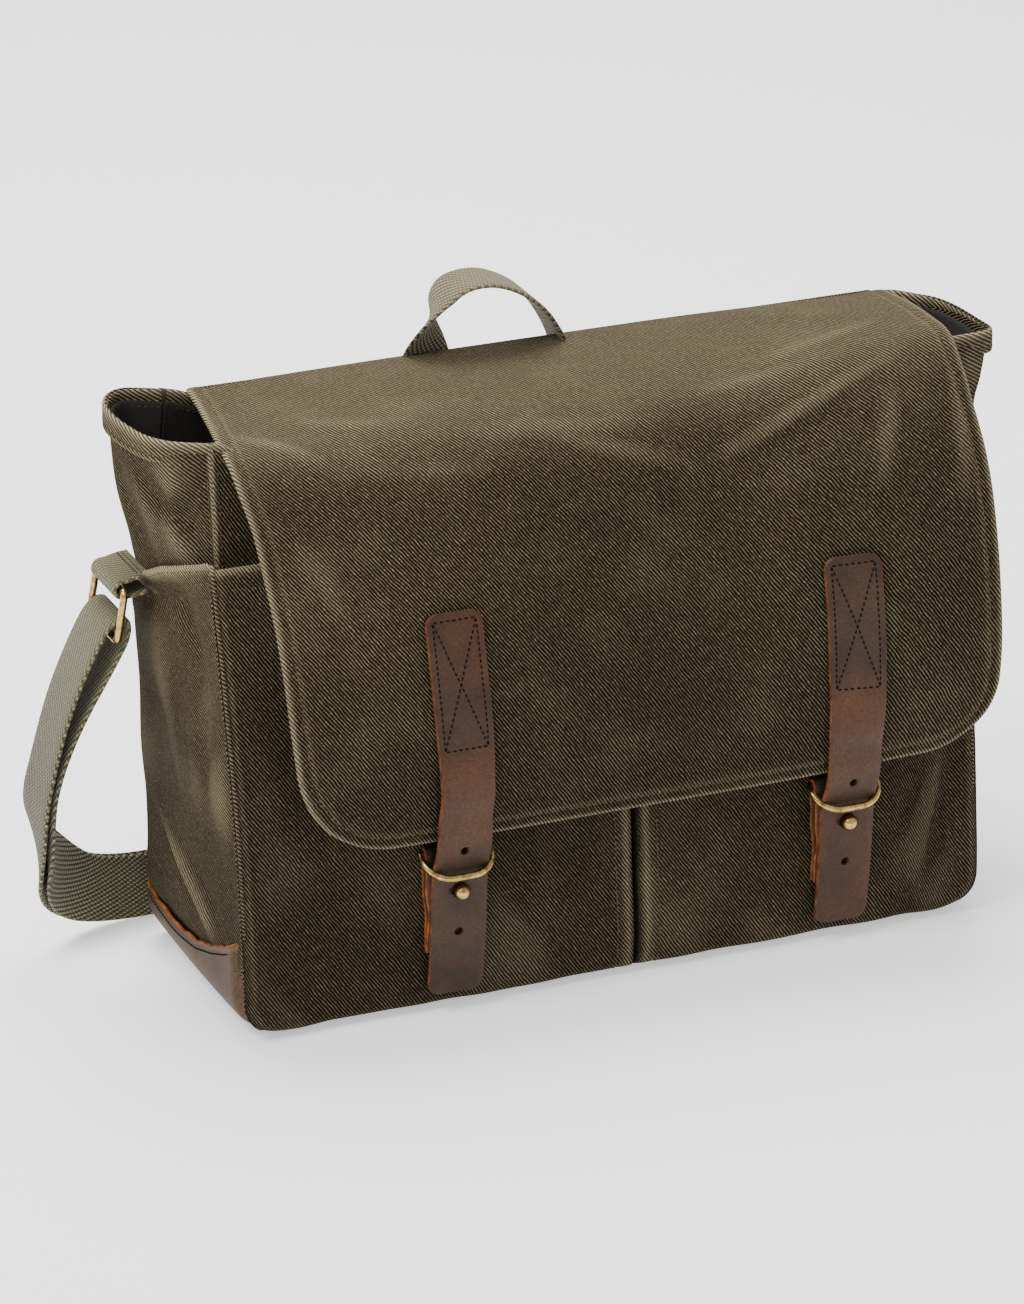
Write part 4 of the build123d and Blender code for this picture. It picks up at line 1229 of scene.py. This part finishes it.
# rows of the left side panel, from the back seam to the front seam
SIDE_ROWS = [
    (16, [(-208, 78.5), (-212, 76), (-212, 40), (-212, 0), (-212, -40), (-208, -62)]),
    (34, [(-217, 78.5), (-219.5, 74), (-219.6, 40), (-219.2, 0), (-218.5, -40), (-217, -65.5)]),
    (62, [(-217, 78.5), (-220.5, 73), (-221, 40), (-220.5, 0), (-219.5, -38), (-217, -65.5)]),
    (110, [(-217, 78.5), (-221.5, 72), (-222.5, 42), (-222, 2), (-220, -34), (-217, -61)]),
    (165, [(-217, 78.5), (-223, 73), (-224.5, 46), (-223.5, 8), (-220.5, -26), (-217, -50)]),
    (205, [(-217, 78.5), (-225, 75), (-228, 50), (-225, 14), (-221, -18), (-217, -41)]),
    (232, [(-216.5, 78.5), (-227, 76), (-231, 52), (-226.5, 16), (-221.5, -12), (-217, -34)]),
    (256, [(-216, 78.5), (-228, 77), (-233, 54), (-228, 18), (-222, -8), (-217, -28.5)]),
]
SIDE_WIDTH = 150.0
SIDE_FOLDS = (
    ((18, 214), (118, 226), 9, -3.2), ((20, 222), (112, 243), 10, 2.2), ((24, 92), (112, 44), 6, 1.6),
    ((22, 84), (104, 40), 6, -1.3), ((96, 60), (118, 34), 6, 1.2), ((58, 190), (76, 110), 12, 1.1),
    ((118, 200), (112, 100), 10, -1.3), ((92, 232), (128, 196), 9, -2.0), ((66, 86), (120, 60), 6, -1.2),
)


def side_relief(u, v):
    """Creases of the left side panel; u runs from the back seam to the front seam."""
    relief = 1.5 * folds(u, v, SIDE_FOLDS) + 1.0 * wobble(u, v, 75, 81)
    # the panel lies flatter just above the leather base
    y = 78.5 - 0.957 * u
    calm = 0.15 + 0.85 * smooth(0, 18, v - base_top(y))
    return relief * calm * smooth(0, 14, u) * smooth(0, 12, SIDE_WIDTH - u)


def side_top(y):
    """Height of the side panel's sloping upper edge."""
    return np.interp(y, (-40, -28, -24, 14, 50, 76, 90), (255, 254, 252, 240, 223, 207, 200))


def base_top(y):
    """Height of the leather base's wavy upper edge."""
    line = np.interp(y, (-66, -64, -46, -32, -4, 27, 53, 74, 85), (56.5, 56, 48, 42, 33, 29, 30, 32, 36))
    return line + 0.45 * np.sin(y * 0.31) + 0.22 * np.sin(y * 0.74 + 1)


def make_side(side, name):
    """One side panel of the pocket layer, with its sloping hem."""
    rows = SIDE_ROWS if side < 0 else mirrored(SIDE_ROWS, 0.8)
    surface = pinched(lofted(rows, SIDE_WIDTH))
    if side < 0:
        surface.lift(side_relief)
    else:
        surface.lift(lambda u, v: 0.6 * side_relief(SIDE_WIDTH - u, v))
    us = seam_spaced(SIDE_WIDTH, 3.2)
    line, _ = surface.at(us, np.full(len(us), 230.0))
    top = side_top(line[:, 1])
    low = base_top(line[:, 1]) - 12.0
    share = np.concatenate([np.linspace(0, 0.94, 60), np.linspace(0.945, 1, 12)])
    u = np.meshgrid(us, share)[0]
    v = low[None] + (top - low)[None] * share[:, None]
    top_gap = top[None] - v
    edge = np.minimum(u, SIDE_WIDTH - u)
    height = hem_height(top_gap, 9.0, 0.6) + 0.7 * hill(edge, 0.4, 1.2) - 0.4 * hill(edge, 3.0, 1.3)
    outer, _ = surface.at(u, v, height)
    inner, _ = surface.at(u, v, -CLOTH)
    wear_and_light = 0.03 + 0.8 * hill(top_gap, 0, 3.0) + 0.15 * hill(edge, 0.5, 1.6)
    from_back = u if side < 0 else SIDE_WIDTH - u
    wear_and_light = wear_and_light + np.clip(side_relief(from_back, v), 0, 2) * 0.16
    piece = shell(name, outer, inner, np.stack([u, v], axis=2), [SIDE_CANVAS], np.clip(wear_and_light, 0, 1))
    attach(piece, "bag")
    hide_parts(name)
    sewing = []
    for depth in (2.6, 9.0):
        sewing.append(stitch_row(*surface.at(us[2:-2], top[2:-2] - depth, 0.4)))
    return sewing


body_seams += make_side(-1, "left_side_panel") + make_side(1, "right_side_panel")


# ---------------------------------------------------------------- leather base
def base_front(z):
    """Front limit of the leather base at a height, tucked behind the pockets' seam."""
    return np.interp(z, (0, 2, 6, 12, 24, 40, 60), (-46, -54.5, -60.5, -63.6, -65, -64, -62))


def settled(line):
    """A line of points with its small waves averaged out."""
    reach = 6
    share = np.ones(2 * reach + 1) / (2 * reach + 1)
    padded = np.pad(line, ((reach, reach), (0, 0)), mode="edge")
    return np.stack([np.convolve(padded[:, k], share, "valid") for k in range(3)], axis=1)


# half the base's width, the radius of its lower edges and the place of its back
BASE_HALF = 220.8
BASE_CORNER = 26.0
BASE_BACK = 79.0


def base_section():
    """Stations round the tray, left to right: x, height, and share of the wall where it is one."""
    arc = np.linspace(0, math.pi / 2, 14)
    climb = np.linspace(0, 1, 14)
    flat_half = BASE_HALF - BASE_CORNER
    bend = [(flat_half + BASE_CORNER * math.cos(a), BASE_CORNER * (1 - math.sin(a)), None) for a in arc]
    line = [(-BASE_HALF, None, 1 - t) for t in climb]
    line += [(-x, z, wall) for x, z, wall in bend[1:]]
    line += [(x, 0.0, None) for x in np.linspace(-flat_half, flat_half, 70)[1:-1]]
    line += bend[::-1]
    return line + [(BASE_HALF, None, t) for t in climb[1:]]


def base_point(x, z, wall, part):
    """Point of the tray at a station; part is the share of the way from its back to its front."""
    y = BASE_BACK
    # the height of the wall and the depth of the tray depend on each other
    for _ in range(3):
        height = z if wall is None else BASE_CORNER + (float(base_top(y)) - BASE_CORNER) * wall
        y = BASE_BACK + (float(base_front(height)) - BASE_BACK) * part
    bulge = 0.0
    if wall is not None or z > 4:
        bulge = 1.2 * math.sin(math.pi * part) - 2.2 * hill(part, 0, 0.03) - 4.2 * hill(part, 1, 0.03)
    return x - bulge if x < 0 else x + bulge, y, height


def make_base():
    """Leather tray: sides with a raw, wavy top edge, rounded lower corners and a flat bottom."""
    section = base_section()
    grid = [[base_point(*station, part) for station in section] for part in np.linspace(0, 1, 110)]
    outer = np.array(grid)
    outer[..., 0] -= pinch(*np.moveaxis(outer, 2, 0))
    rows, columns = outer.shape[:2]
    flat = np.stack(np.broadcast_arrays(run_length(outer[50])[None], outer[:, 40, 1:2]), axis=2)
    # columns run to the right and rows to the front, so that the normals face out
    inner = outer - Surface(np.arange(columns), np.arange(rows), outer).normals * 2.2
    outer[..., 2] = np.maximum(outer[..., 2], 0.0)
    ends = np.minimum(np.arange(columns), columns - 1 - np.arange(columns))
    worn = 0.45 * hill(ends, 18, 7)
    worn[ends < 2] = 1.0
    piece = shell("base_leather", outer, inner, flat, [BASE_LEATHER, RAW_EDGE], steady(worn, rows), 1)
    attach(piece, "bag")
    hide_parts("base_leather")
    sewing = []
    for column, near, sign in ((0, 3, -1), (-1, -4, 1)):
        top = outer[:, column]
        row = settled(top + unit(outer[:, near] - top) * 4.2)[2:-2]
        row[:, 0] += sign * 0.1
        sewing.append(stitch_row(row, steady((sign, 0, 0), len(row)), 3.0))
    return sewing


base_rows = make_base()
base_sewing = stitches("base_stitches", base_rows, LEATHER_THREAD, 0.5)
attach(base_sewing, "bag")


# ---------------------------------------------------------------- closure straps
# middle of each strap in x, and half the width of both
STRAPS = {"left": -100.0, "right": 124.0}
STRAP_HALF = 16.0
# heights and radii of the holes
STRAP_HOLES = ((97.0, 2.3), (72.0, 4.3), (48.0, 2.3))
# a strap's line in y and z, from the flap's hem to its tip
TAIL_LINE = [
    (-83.4, 116), (-83.2, 106), (-81.4, 96), (-78.0, 87), (-76.2, 77), (-75.8, 67), (-75.8, 52), (-75.4, 38),
    (-74.4, 24), (-73.2, 12.5),
]


def strap_path(x):
    """Middle line of a closure strap: over the flap, off its hem, and down behind the ring."""
    climb = np.linspace(0, 1, 60)
    v = np.linspace(FLAP_DEPTH, 0, 600)
    points, _ = flap.at(np.full(600, x), v, 0.0)
    high = v[np.argmin(np.abs(points[:, 2] - 222.5))]
    top, normals = flap.at(np.full(60, x), high + (12.0 - high) * climb, 1.0)
    lift = 2.4 + 2.8 * smooth(0.55, 1.0, climb)
    top = top + normals * lift[:, None]
    tail = np.array([(x, y, z) for y, z in TAIL_LINE], float)
    keep = top[:, 2] > 121
    line = np.concatenate([top[keep][::4], tail])
    line[:, 0] += np.interp(line[:, 2], (12, 69, 222), (-2.2, -0.6, 2.6))
    return even(line, 240)


def strap_across(x, heights):
    """Direction across a closure strap at some heights: along the flap, then level."""
    v = np.linspace(FLAP_DEPTH, 0, 600)
    left, _ = flap.at(np.full(600, x - STRAP_HALF), v, 0.0)
    right, _ = flap.at(np.full(600, x + STRAP_HALF), v, 0.0)
    slant = unit(right - left)
    level = 0.5 * (left + right)[::-1, 2]
    across = sampled(heights, level, slant[::-1])
    share = smooth(96, 128, heights)[:, None]
    return unit(across * share + np.array((1, 0, 0)) * (1 - share))


def end_scale(length, radius, half):
    """Half width of a strip with rounded ends, as a share of its full half width."""
    total = length[-1]
    near = np.minimum(length, total - length)
    inside = np.clip(radius - near, 0, radius)
    return (half - radius + np.sqrt(np.maximum(radius**2 - inside**2, 0))) / half


def dense_ends(path):
    """More points towards a strip's two ends, so that its corners are round."""
    length = run_length(path)
    total = length[-1]
    ends = 8.0 * (1 - np.cos(np.linspace(0, math.pi / 2, 12)))
    wanted = np.concatenate([ends, np.linspace(8, total - 8, 150)[1:-1], total - ends[::-1]])
    return sampled(wanted, length, path)


def punch(item, centre, radius):
    """Real hole through a strap."""
    bpy.ops.mesh.primitive_cylinder_add(
        vertices=28, radius=radius * MM, depth=0.02, location=tuple(c * MM for c in centre),
        rotation=(math.pi / 2, 0, 0),
    )
    cutter = bpy.context.active_object
    cutter.data.materials.append(STRAP_EDGE)
    change = item.modifiers.new("hole", "BOOLEAN")
    change.object = cutter
    change.operation = "DIFFERENCE"
    change.solver = "EXACT"
    bpy.context.view_layer.update()
    solid = bpy.data.meshes.new_from_object(item.evaluated_get(bpy.context.evaluated_depsgraph_get()))
    item.modifiers.clear()
    item.data = solid
    bpy.data.objects.remove(cutter)


def crossed_box(left, low, right, high):
    """Lines of a sewn rectangle and of its two diagonals."""
    corners = [(left, low), (right, low), (right, high), (left, high), (left, low)]
    sides = [corners[i:i + 2] for i in range(4)]
    return sides + [[(left, low), (right, high)], [(right, low), (left, high)]]


def make_strap(word, x):
    """A closure strap with raw edges, punched holes and a sewn, crossed rectangle."""
    path = dense_ends(strap_path(x))
    across = strap_across(x, path[:, 2])
    across[:, 1] += 0.02 * np.sin(path[:, 2] / 14)
    side, inward = square_up(path, across)
    up = -inward
    length = run_length(path)
    scale = end_scale(length, 7.0, STRAP_HALF)
    scale = scale * (1 - 0.035 * hill(path[:, 2], 128, 30))
    wear_and_light = 0.42 * hill(path[:, 2], 140, 18) + 0.22 * hill(path[:, 2], 108, 12)
    section = strip_section(2 * STRAP_HALF, 2.6, 0.3)
    materials = [LEATHER, STRAP_EDGE]
    strap = tube(f"{word}_closure_strap", path, side, up, section, materials, STRIP_EDGES, scale, wear_and_light)
    for z, radius in STRAP_HOLES:
        punch(strap, path[np.argmin(np.abs(path[:, 2] - z))], radius)
    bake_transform(strap)
    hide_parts(f"{word}_strap", f"{word}_strap_tail")

    def on_strap(a, d):
        """Point on the strap's face: a across, d down from the top end."""
        lift = sampled(d, length, up)
        return sampled(d, length, path) + sampled(d, length, side) * a[:, None] + lift * 1.35, lift

    rows = []
    for (a0, d0), (a1, d1) in crossed_box(-12, 4.5, 12, 72):
        face = on_strap(np.linspace(a0, a1, 40), np.linspace(d0, d1, 40))
        rows.append(stitch_row(*face, 3.0, 0.72))
    sewing = stitches(f"{word}_strap_stitches", rows, LEATHER_THREAD, 0.42)
    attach(sewing, "flap_lower")


for word, x in STRAPS.items():
    make_strap(word, x)


# a keeper tab's line in y and z: up behind, over the ring's bar and down in front
KEEPER_LINE = [
    (-70.4, 37.5), (-69.6, 50), (-68.0, 68), (-66.4, 84), (-66.2, 92), (-68.6, 95.4), (-71.5, 92.5),
    (-72.3, 86), (-73.2, 76), (-73.6, 66), (-73.4, 58), (-72.9, 51), (-72.6, 45), (-72.4, 37.5),
]


# a keeper tab sits a little to the left of its strap's middle
KEEPER_SHIFT = 3.5


def make_keeper(word, x):
    """The folded leather tab that holds the ring: two raw-edged layers, open between them."""
    middle = x - KEEPER_SHIFT
    path = even([(middle, y, z) for y, z in KEEPER_LINE], 110)
    length = run_length(path)
    path[:, 0] += 0.175 * wobble(length, np.zeros(110), 14, 90 + len(word))
    side, up = square_up(path, steady((1, 0, 0), 110))
    length = run_length(path)
    half = 1 + 0.025 * wobble(length, np.ones(110), 22, 95 + len(word)) - 0.06 * hill(path[:, 2], 58, 7)
    section = strip_section(29.0, 1.9, 0.3)
    materials = [LEATHER, RAW_EDGE]
    keeper = tube(f"{word}_keeper_tab", path, side, up, section, materials, STRIP_EDGES, half)
    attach(keeper, "bag")
    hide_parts(f"{word}_keeper")
    # two upright rows and a level one between their lower ends
    low = [(middle - 11, -73.4, 41), (middle + 11, -73.4, 41)]
    high = [(middle - 11, -73.9, 53), (middle + 11, -73.9, 53)]
    rows = []
    for start, end, count in ((high[0], low[0], 12), (high[1], low[1], 12), (low[0], low[1], 20)):
        line = np.linspace(start, end, count)
        rows.append(stitch_row(line, steady((0, -1, 0), count), 2.6, 0.74))
    sewing = stitches(f"{word}_keeper_stitches", rows, LEATHER_THREAD, 0.36)
    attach(sewing, "bag")


for word, x in STRAPS.items():
    make_keeper(word, x)


# ---------------------------------------------------------------- shoulder strap
# control points of the strap's two runs: from the left end ring to the slider, and on to the right ring
LEFT_ROUTE = (
    (-249.5, 52.0, 193.0), (-258.0, 52.0, 178.0), (-271.0, 53.0, 152.0), (-281.0, 56.0, 121.0),
    (-285.0, 63.0, 90.0), (-277.5, 76.0, 56.0), (-259.0, 91.0, 30.0), (-232.0, 99.0, 20.5),
    (-196.0, 101.0, 19.5), (-150.0, 108.0, 19.5), (-96.0, 127.0, 19.5), (-40.0, 141.0, 19.5),
)
RIGHT_ROUTE = (
    (-40.0, 141.0, 19.5), (16.0, 155.0, 19.5), (92.0, 168.0, 19.5), (158.0, 162.0, 19.5),
    (208.0, 146.0, 22.0), (237.0, 124.0, 35.0), (249.0, 101.0, 60.0), (252.0, 80.0, 92.0),
    (251.0, 64.0, 124.0), (250.0, 55.0, 152.0), (249.0, 52.0, 172.0), (248.7, 52.0, 193.0),
)


def nurbs_line(name, route):
    """Points of the smooth NURBS curve whose control points are the route."""
    curve = bpy.data.curves.new(name, "CURVE")
    curve.dimensions = "3D"
    curve.resolution_u = 12
    spline = curve.splines.new("NURBS")
    spline.points.add(len(route) - 1)
    for point, place in zip(spline.points, route):
        point.co = (place[0] * MM, place[1] * MM, place[2] * MM, 1.0)
    spline.order_u = 3
    spline.use_endpoint_u = True
    holder = bpy.data.objects.new(name, curve)
    bpy.context.scene.collection.objects.link(holder)
    bpy.context.view_layer.update()
    mesh = bpy.data.meshes.new_from_object(holder)
    line = np.array([vertex.co[:] for vertex in mesh.vertices])
    bpy.data.objects.remove(holder)
    bpy.data.meshes.remove(mesh)
    return even_line(line / MM, 3.0)


def strap_frame(line, out_sign):
    """Width and outward directions of the webbing: flat-on at the ring, on edge along the floor."""
    upright = 1 - smooth(30, 118, line[:, 2])
    width = np.stack([0 * upright, 1.02 - upright, upright], axis=1)
    side, up = square_up(line, width)
    return side, up * out_sign, tangents(line)


def doubled_path(line, side, out, along, gap, crown, second):
    """Webbing from its far end up one side, over the ring's bar and down the other side."""
    outer = line + out * gap[:, None]
    inner = (line - out * gap[:, None])[:second]
    turn = np.linspace(0, math.pi, 15)[1:-1, None]
    top = line[0] + out[0] * gap[0] * np.cos(turn) - along[0] * crown * np.sin(turn)
    path = np.concatenate([outer[::-1], top, inner])
    width = np.concatenate([side[::-1], steady(side[0], len(turn)), side[:second]])
    return path, width


def make_cord(word, route, second_length, crown, fade):
    """One run of the shoulder strap, with its loop over the end ring."""
    true_line = nurbs_line(f"{word}_route", route)
    # line runs from the ring, for either strap
    line = true_line if word == "left" else true_line[::-1]
    side, out, along = strap_frame(line, 1 if word == "left" else -1)
    length = run_length(line)
    gap = 1.55 + 5.2 * (1 - smooth(0, fade, length)) + 1.1 * hill(length, 150, 60) * (second_length > 200)
    second = int(np.searchsorted(length, second_length))
    gap[length > second_length] = np.maximum(gap[min(second, len(gap) - 1)], 0)
    path, width = doubled_path(line, side, out, along, gap, crown, second)
    across, up = square_up(path, width)
    wear_and_light = 0.3 * smooth(100, 220, path[:, 2])
    section = strip_section(37.5, 2.4, 0.6)
    item = tube(f"{word}_shoulder_strap", path, across, up, section, [STRAP_WEB], wear_and_light=wear_and_light)
    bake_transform(item)
    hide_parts(f"shoulder_strap_{word}", f"{word}_strap_loop")
    return item, true_line, (line, side, out, along)


left_strap, left_line, left_facts = make_cord("left", LEFT_ROUTE, 900.0, 14.0, 95.0)
right_strap, right_line, _ = make_cord("right", RIGHT_ROUTE, 62.0, 12.0, 40.0)


def make_slider():
    """Three-bar slider round the doubled webbing, where the strap's length is set."""
    line, side, out, along = left_facts
    lift = 3.6
    place = line[-7] + (0, 0, lift)
    direction, across, facing = along[-7], side[-7], out[-7]
    half_long, half_wide, corner, wire = 11.5, 21.4, 4.0, 1.55
    parts = []
    corners = []
    for quarter in range(4):
        centre_a = (half_long - corner) * (1 if quarter in (0, 3) else -1)
        centre_b = (half_wide - corner) * (1 if quarter in (0, 1) else -1)
        for t in np.linspace(0, math.pi / 2, 7):
            angle = quarter * math.pi / 2 + t
            corners.append((centre_a + corner * math.cos(angle), centre_b + corner * math.sin(angle)))
    bar = np.linspace((0, -half_wide), (0, half_wide), 12)
    lines = [np.array(corners + corners[:2]), bar]
    section = [(wire * math.cos(a), wire * math.sin(a)) for a in np.linspace(0, 2 * math.pi, 13)[:-1]]
    for number, flat_line in enumerate(lines):
        points = place + direction * flat_line[:, :1] + across * flat_line[:, 1:2] + facing * lift
        fine = even_line(points, 1.6)
        around, above = square_up(fine, steady(facing, len(fine)))
        parts.append(tube(f"slider_{number}", fine, around, above, section, [BRASS]))
    slider = join("strap_slider_frame", parts)
    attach(slider, "slider")
    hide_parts("strap_slider")
    return slider


slider_piece = make_slider()


# ---------------------------------------------------------------- side tabs
TAB_X = 244.0
TAB_Y = 52.0
TAB_Z = 222.0
# section of the fold, from the seam over the ring's bar and back: outward and up
TAB_PROFILE = (
    (-15, 6.6), (-9, 6.0), (-3, 4.6), (1.5, 3.9), (3.7, 1.4), (3.7, -1.4), (1.5, -3.7), (-3, -4.2),
    (-9, -3.6), (-14, -2.6),
)


def make_tab(side, name):
    """Webbing tab folded round the end ring's upper bar and sewn into the seam."""
    path = even([(side * (TAB_X + a), TAB_Y, TAB_Z + b) for a, b in TAB_PROFILE], 60)
    across, up = square_up(path, steady((0, 1, 0), 60))
    section = strip_section(37.0, 2.4, 0.6)
    tab = tube(f"{name}_webbing", path, across, up, section, [STRAP_WEB], wear_and_light=np.full(60, 0.3))
    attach(tab, "bag")
    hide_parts(name)
    rows = []
    for inset in (9.0, 11.5):
        x = side * (TAB_X - inset)
        line = np.linspace((x, TAB_Y - 16, TAB_Z + 7.5), (x, TAB_Y + 16, TAB_Z + 7.5), 30)
        rows.append(stitch_row(line, steady((0, 0, 1), 30), 2.6))
    return rows


tab_rows = make_tab(-1, "left_side_tab") + make_tab(1, "right_side_tab")


# ---------------------------------------------------------------- grab handle
# the handle's middle line, from its left foot to its right foot
HANDLE_POINTS = [
    (-57, 80.6, 262), (-57, 80.6, 276), (-56.5, 80.8, 290), (-55.0, 81.0, 303), (-53.5, 81.5, 317),
    (-51.0, 82.0, 329), (-46.0, 82.0, 339.5), (-37.0, 81.0, 347.0), (-22.0, 80.5, 348.5),
    (-6.0, 80.5, 342.5), (8.0, 80.8, 331),
    (17.5, 81.0, 317.0), (24.0, 81.0, 302.0), (29.0, 80.8, 288), (32.5, 80.6, 274), (33.0, 80.6, 262),
]


def make_handle():
    """Webbing grab handle: flat against the back at its feet, turned flat-on over the top."""
    path = even(HANDLE_POINTS, 200)
    length = run_length(path)
    share = length / length[-1]
    turned = smooth(0.16, 0.40, share) * (1 - smooth(0.78, 0.97, share))
    angle = turned * math.pi / 2
    flat_on = steady((0, 1, 0), len(path))
    in_plane = unit(np.cross(flat_on, tangents(path)))
    width = in_plane * np.cos(angle)[:, None] + flat_on * np.sin(angle)[:, None]
    across, up = square_up(path, width)
    wear_and_light = 0.35 * smooth(320, 345, path[:, 2])
    section = strip_section(31.0, 2.4, 0.6)
    handle = tube("grab_handle_webbing", path, across, up, section, [HANDLE_WEB], wear_and_light=wear_and_light)
    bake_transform(handle)
    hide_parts("grab_handle", "handle_anchors")
    rows = []
    for foot in (HANDLE_POINTS[0][0], HANDLE_POINTS[-1][0]):
        for (x0, z0), (x1, z1) in crossed_box(-12, 265, 12, 286):
            line = np.linspace((foot + x0, 82, z0), (foot + x1, 82, z1), 20)
            rows.append(stitch_row(line, steady((0, 1, 0), 20), 2.8))
    return rows


handle_rows = make_handle()


# ---------------------------------------------------------------- flap seam, board and hardware
def make_flap_seam():
    """Strip that joins the flap to the back panel, with two rows of stitches."""
    us = np.linspace(FLAP_ENDS[0] + 1, FLAP_ENDS[1] - 1, 130)
    profile = even([(79.6, 287), (80.0, 298), (79.6, 306), (78.6, 310.2), (76.6, 311.6)], 14)
    u, z = np.meshgrid(us, profile[:, 1])
    outer = np.stack([u[:, ::-1], profile[:, :1] + 0.25 * wobble(u, z, 60, 99), z], axis=2)
    inner = outer - Surface(np.arange(130), np.arange(14), outer).normals * 1.6
    flat = np.stack([u, z], axis=2)
    wear_and_light = 0.35 + 0.4 * hill(np.indices(u.shape)[0], 0, 1.5)
    seam = shell("flap_seam_strip", outer, inner, flat, [CANVAS], wear_and_light)
    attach(seam, "bag")
    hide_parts("flap_seam")
    rows = []
    for level in (290.0, 303.0):
        y = float(np.interp(level, profile[:, 1], profile[:, 0])) + 0.2
        line = np.stack(np.broadcast_arrays(us[::-1], y, level), axis=1)[2:-2]
        rows.append(stitch_row(line, steady((0, 1, 0), len(line))))
    return rows


body_seams += make_flap_seam()
body_sewing = stitches("bag_stitches", body_seams + tab_rows + handle_rows, CANVAS_THREAD, 0.42)
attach(body_sewing, "bag")

for node_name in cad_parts:
    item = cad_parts[node_name]
    if item.hide_render:
        continue
    material = BOARD if node_name == "base_board" else BRASS
    for slot in item.material_slots:
        slot.material = material
    for polygon in item.data.polygons:
        polygon.use_smooth = True


# ---------------------------------------------------------------- floor and light
def make_stage():
    """Plain pale floor, a broad soft light from the upper left and a weak fill from the front."""
    bpy.ops.mesh.primitive_plane_add(size=40, location=(0, 0, -0.0002))
    floor = bpy.context.active_object
    floor.name = "floor"
    paint = Paint("pale_floor")
    paint.shader.inputs["Base Color"].default_value = (0.92, 0.92, 0.92, 1)
    paint.shader.inputs["Roughness"].default_value = 0.9
    paint.shader.inputs["Specular IOR Level"].default_value = 0.1
    paint.shader.inputs["Emission Color"].default_value = (1, 1, 1, 1)
    paint.shader.inputs["Emission Strength"].default_value = 0.60
    floor.data.materials.append(paint.material)
    world = bpy.data.worlds.new("studio")
    bpy.context.scene.world = world
    world.use_nodes = True
    world.node_tree.nodes["Background"].inputs[0].default_value = (1, 1, 1, 1)
    world.node_tree.nodes["Background"].inputs[1].default_value = 0.74
    # name, place, size and power
    lights = (
        ("key", (-1.6, -0.5, 2.4), 1.3, 58),
        ("top", (0.1, 1.1, 2.5), 1.8, 98),
        ("fill", (1.6, -2.4, 1.4), 2.0, 4),
    )
    for name, place, size, power in lights:
        data = bpy.data.lights.new(name, "AREA")
        data.shape = "DISK"
        data.size = size
        data.energy = power
        lamp = bpy.data.objects.new(name, data)
        bpy.context.scene.collection.objects.link(lamp)
        lamp.location = place
        aim = Vector((0, 0, 0.12)) - Vector(place)
        lamp.rotation_euler = aim.to_track_quat("-Z", "Y").to_euler()


make_stage()
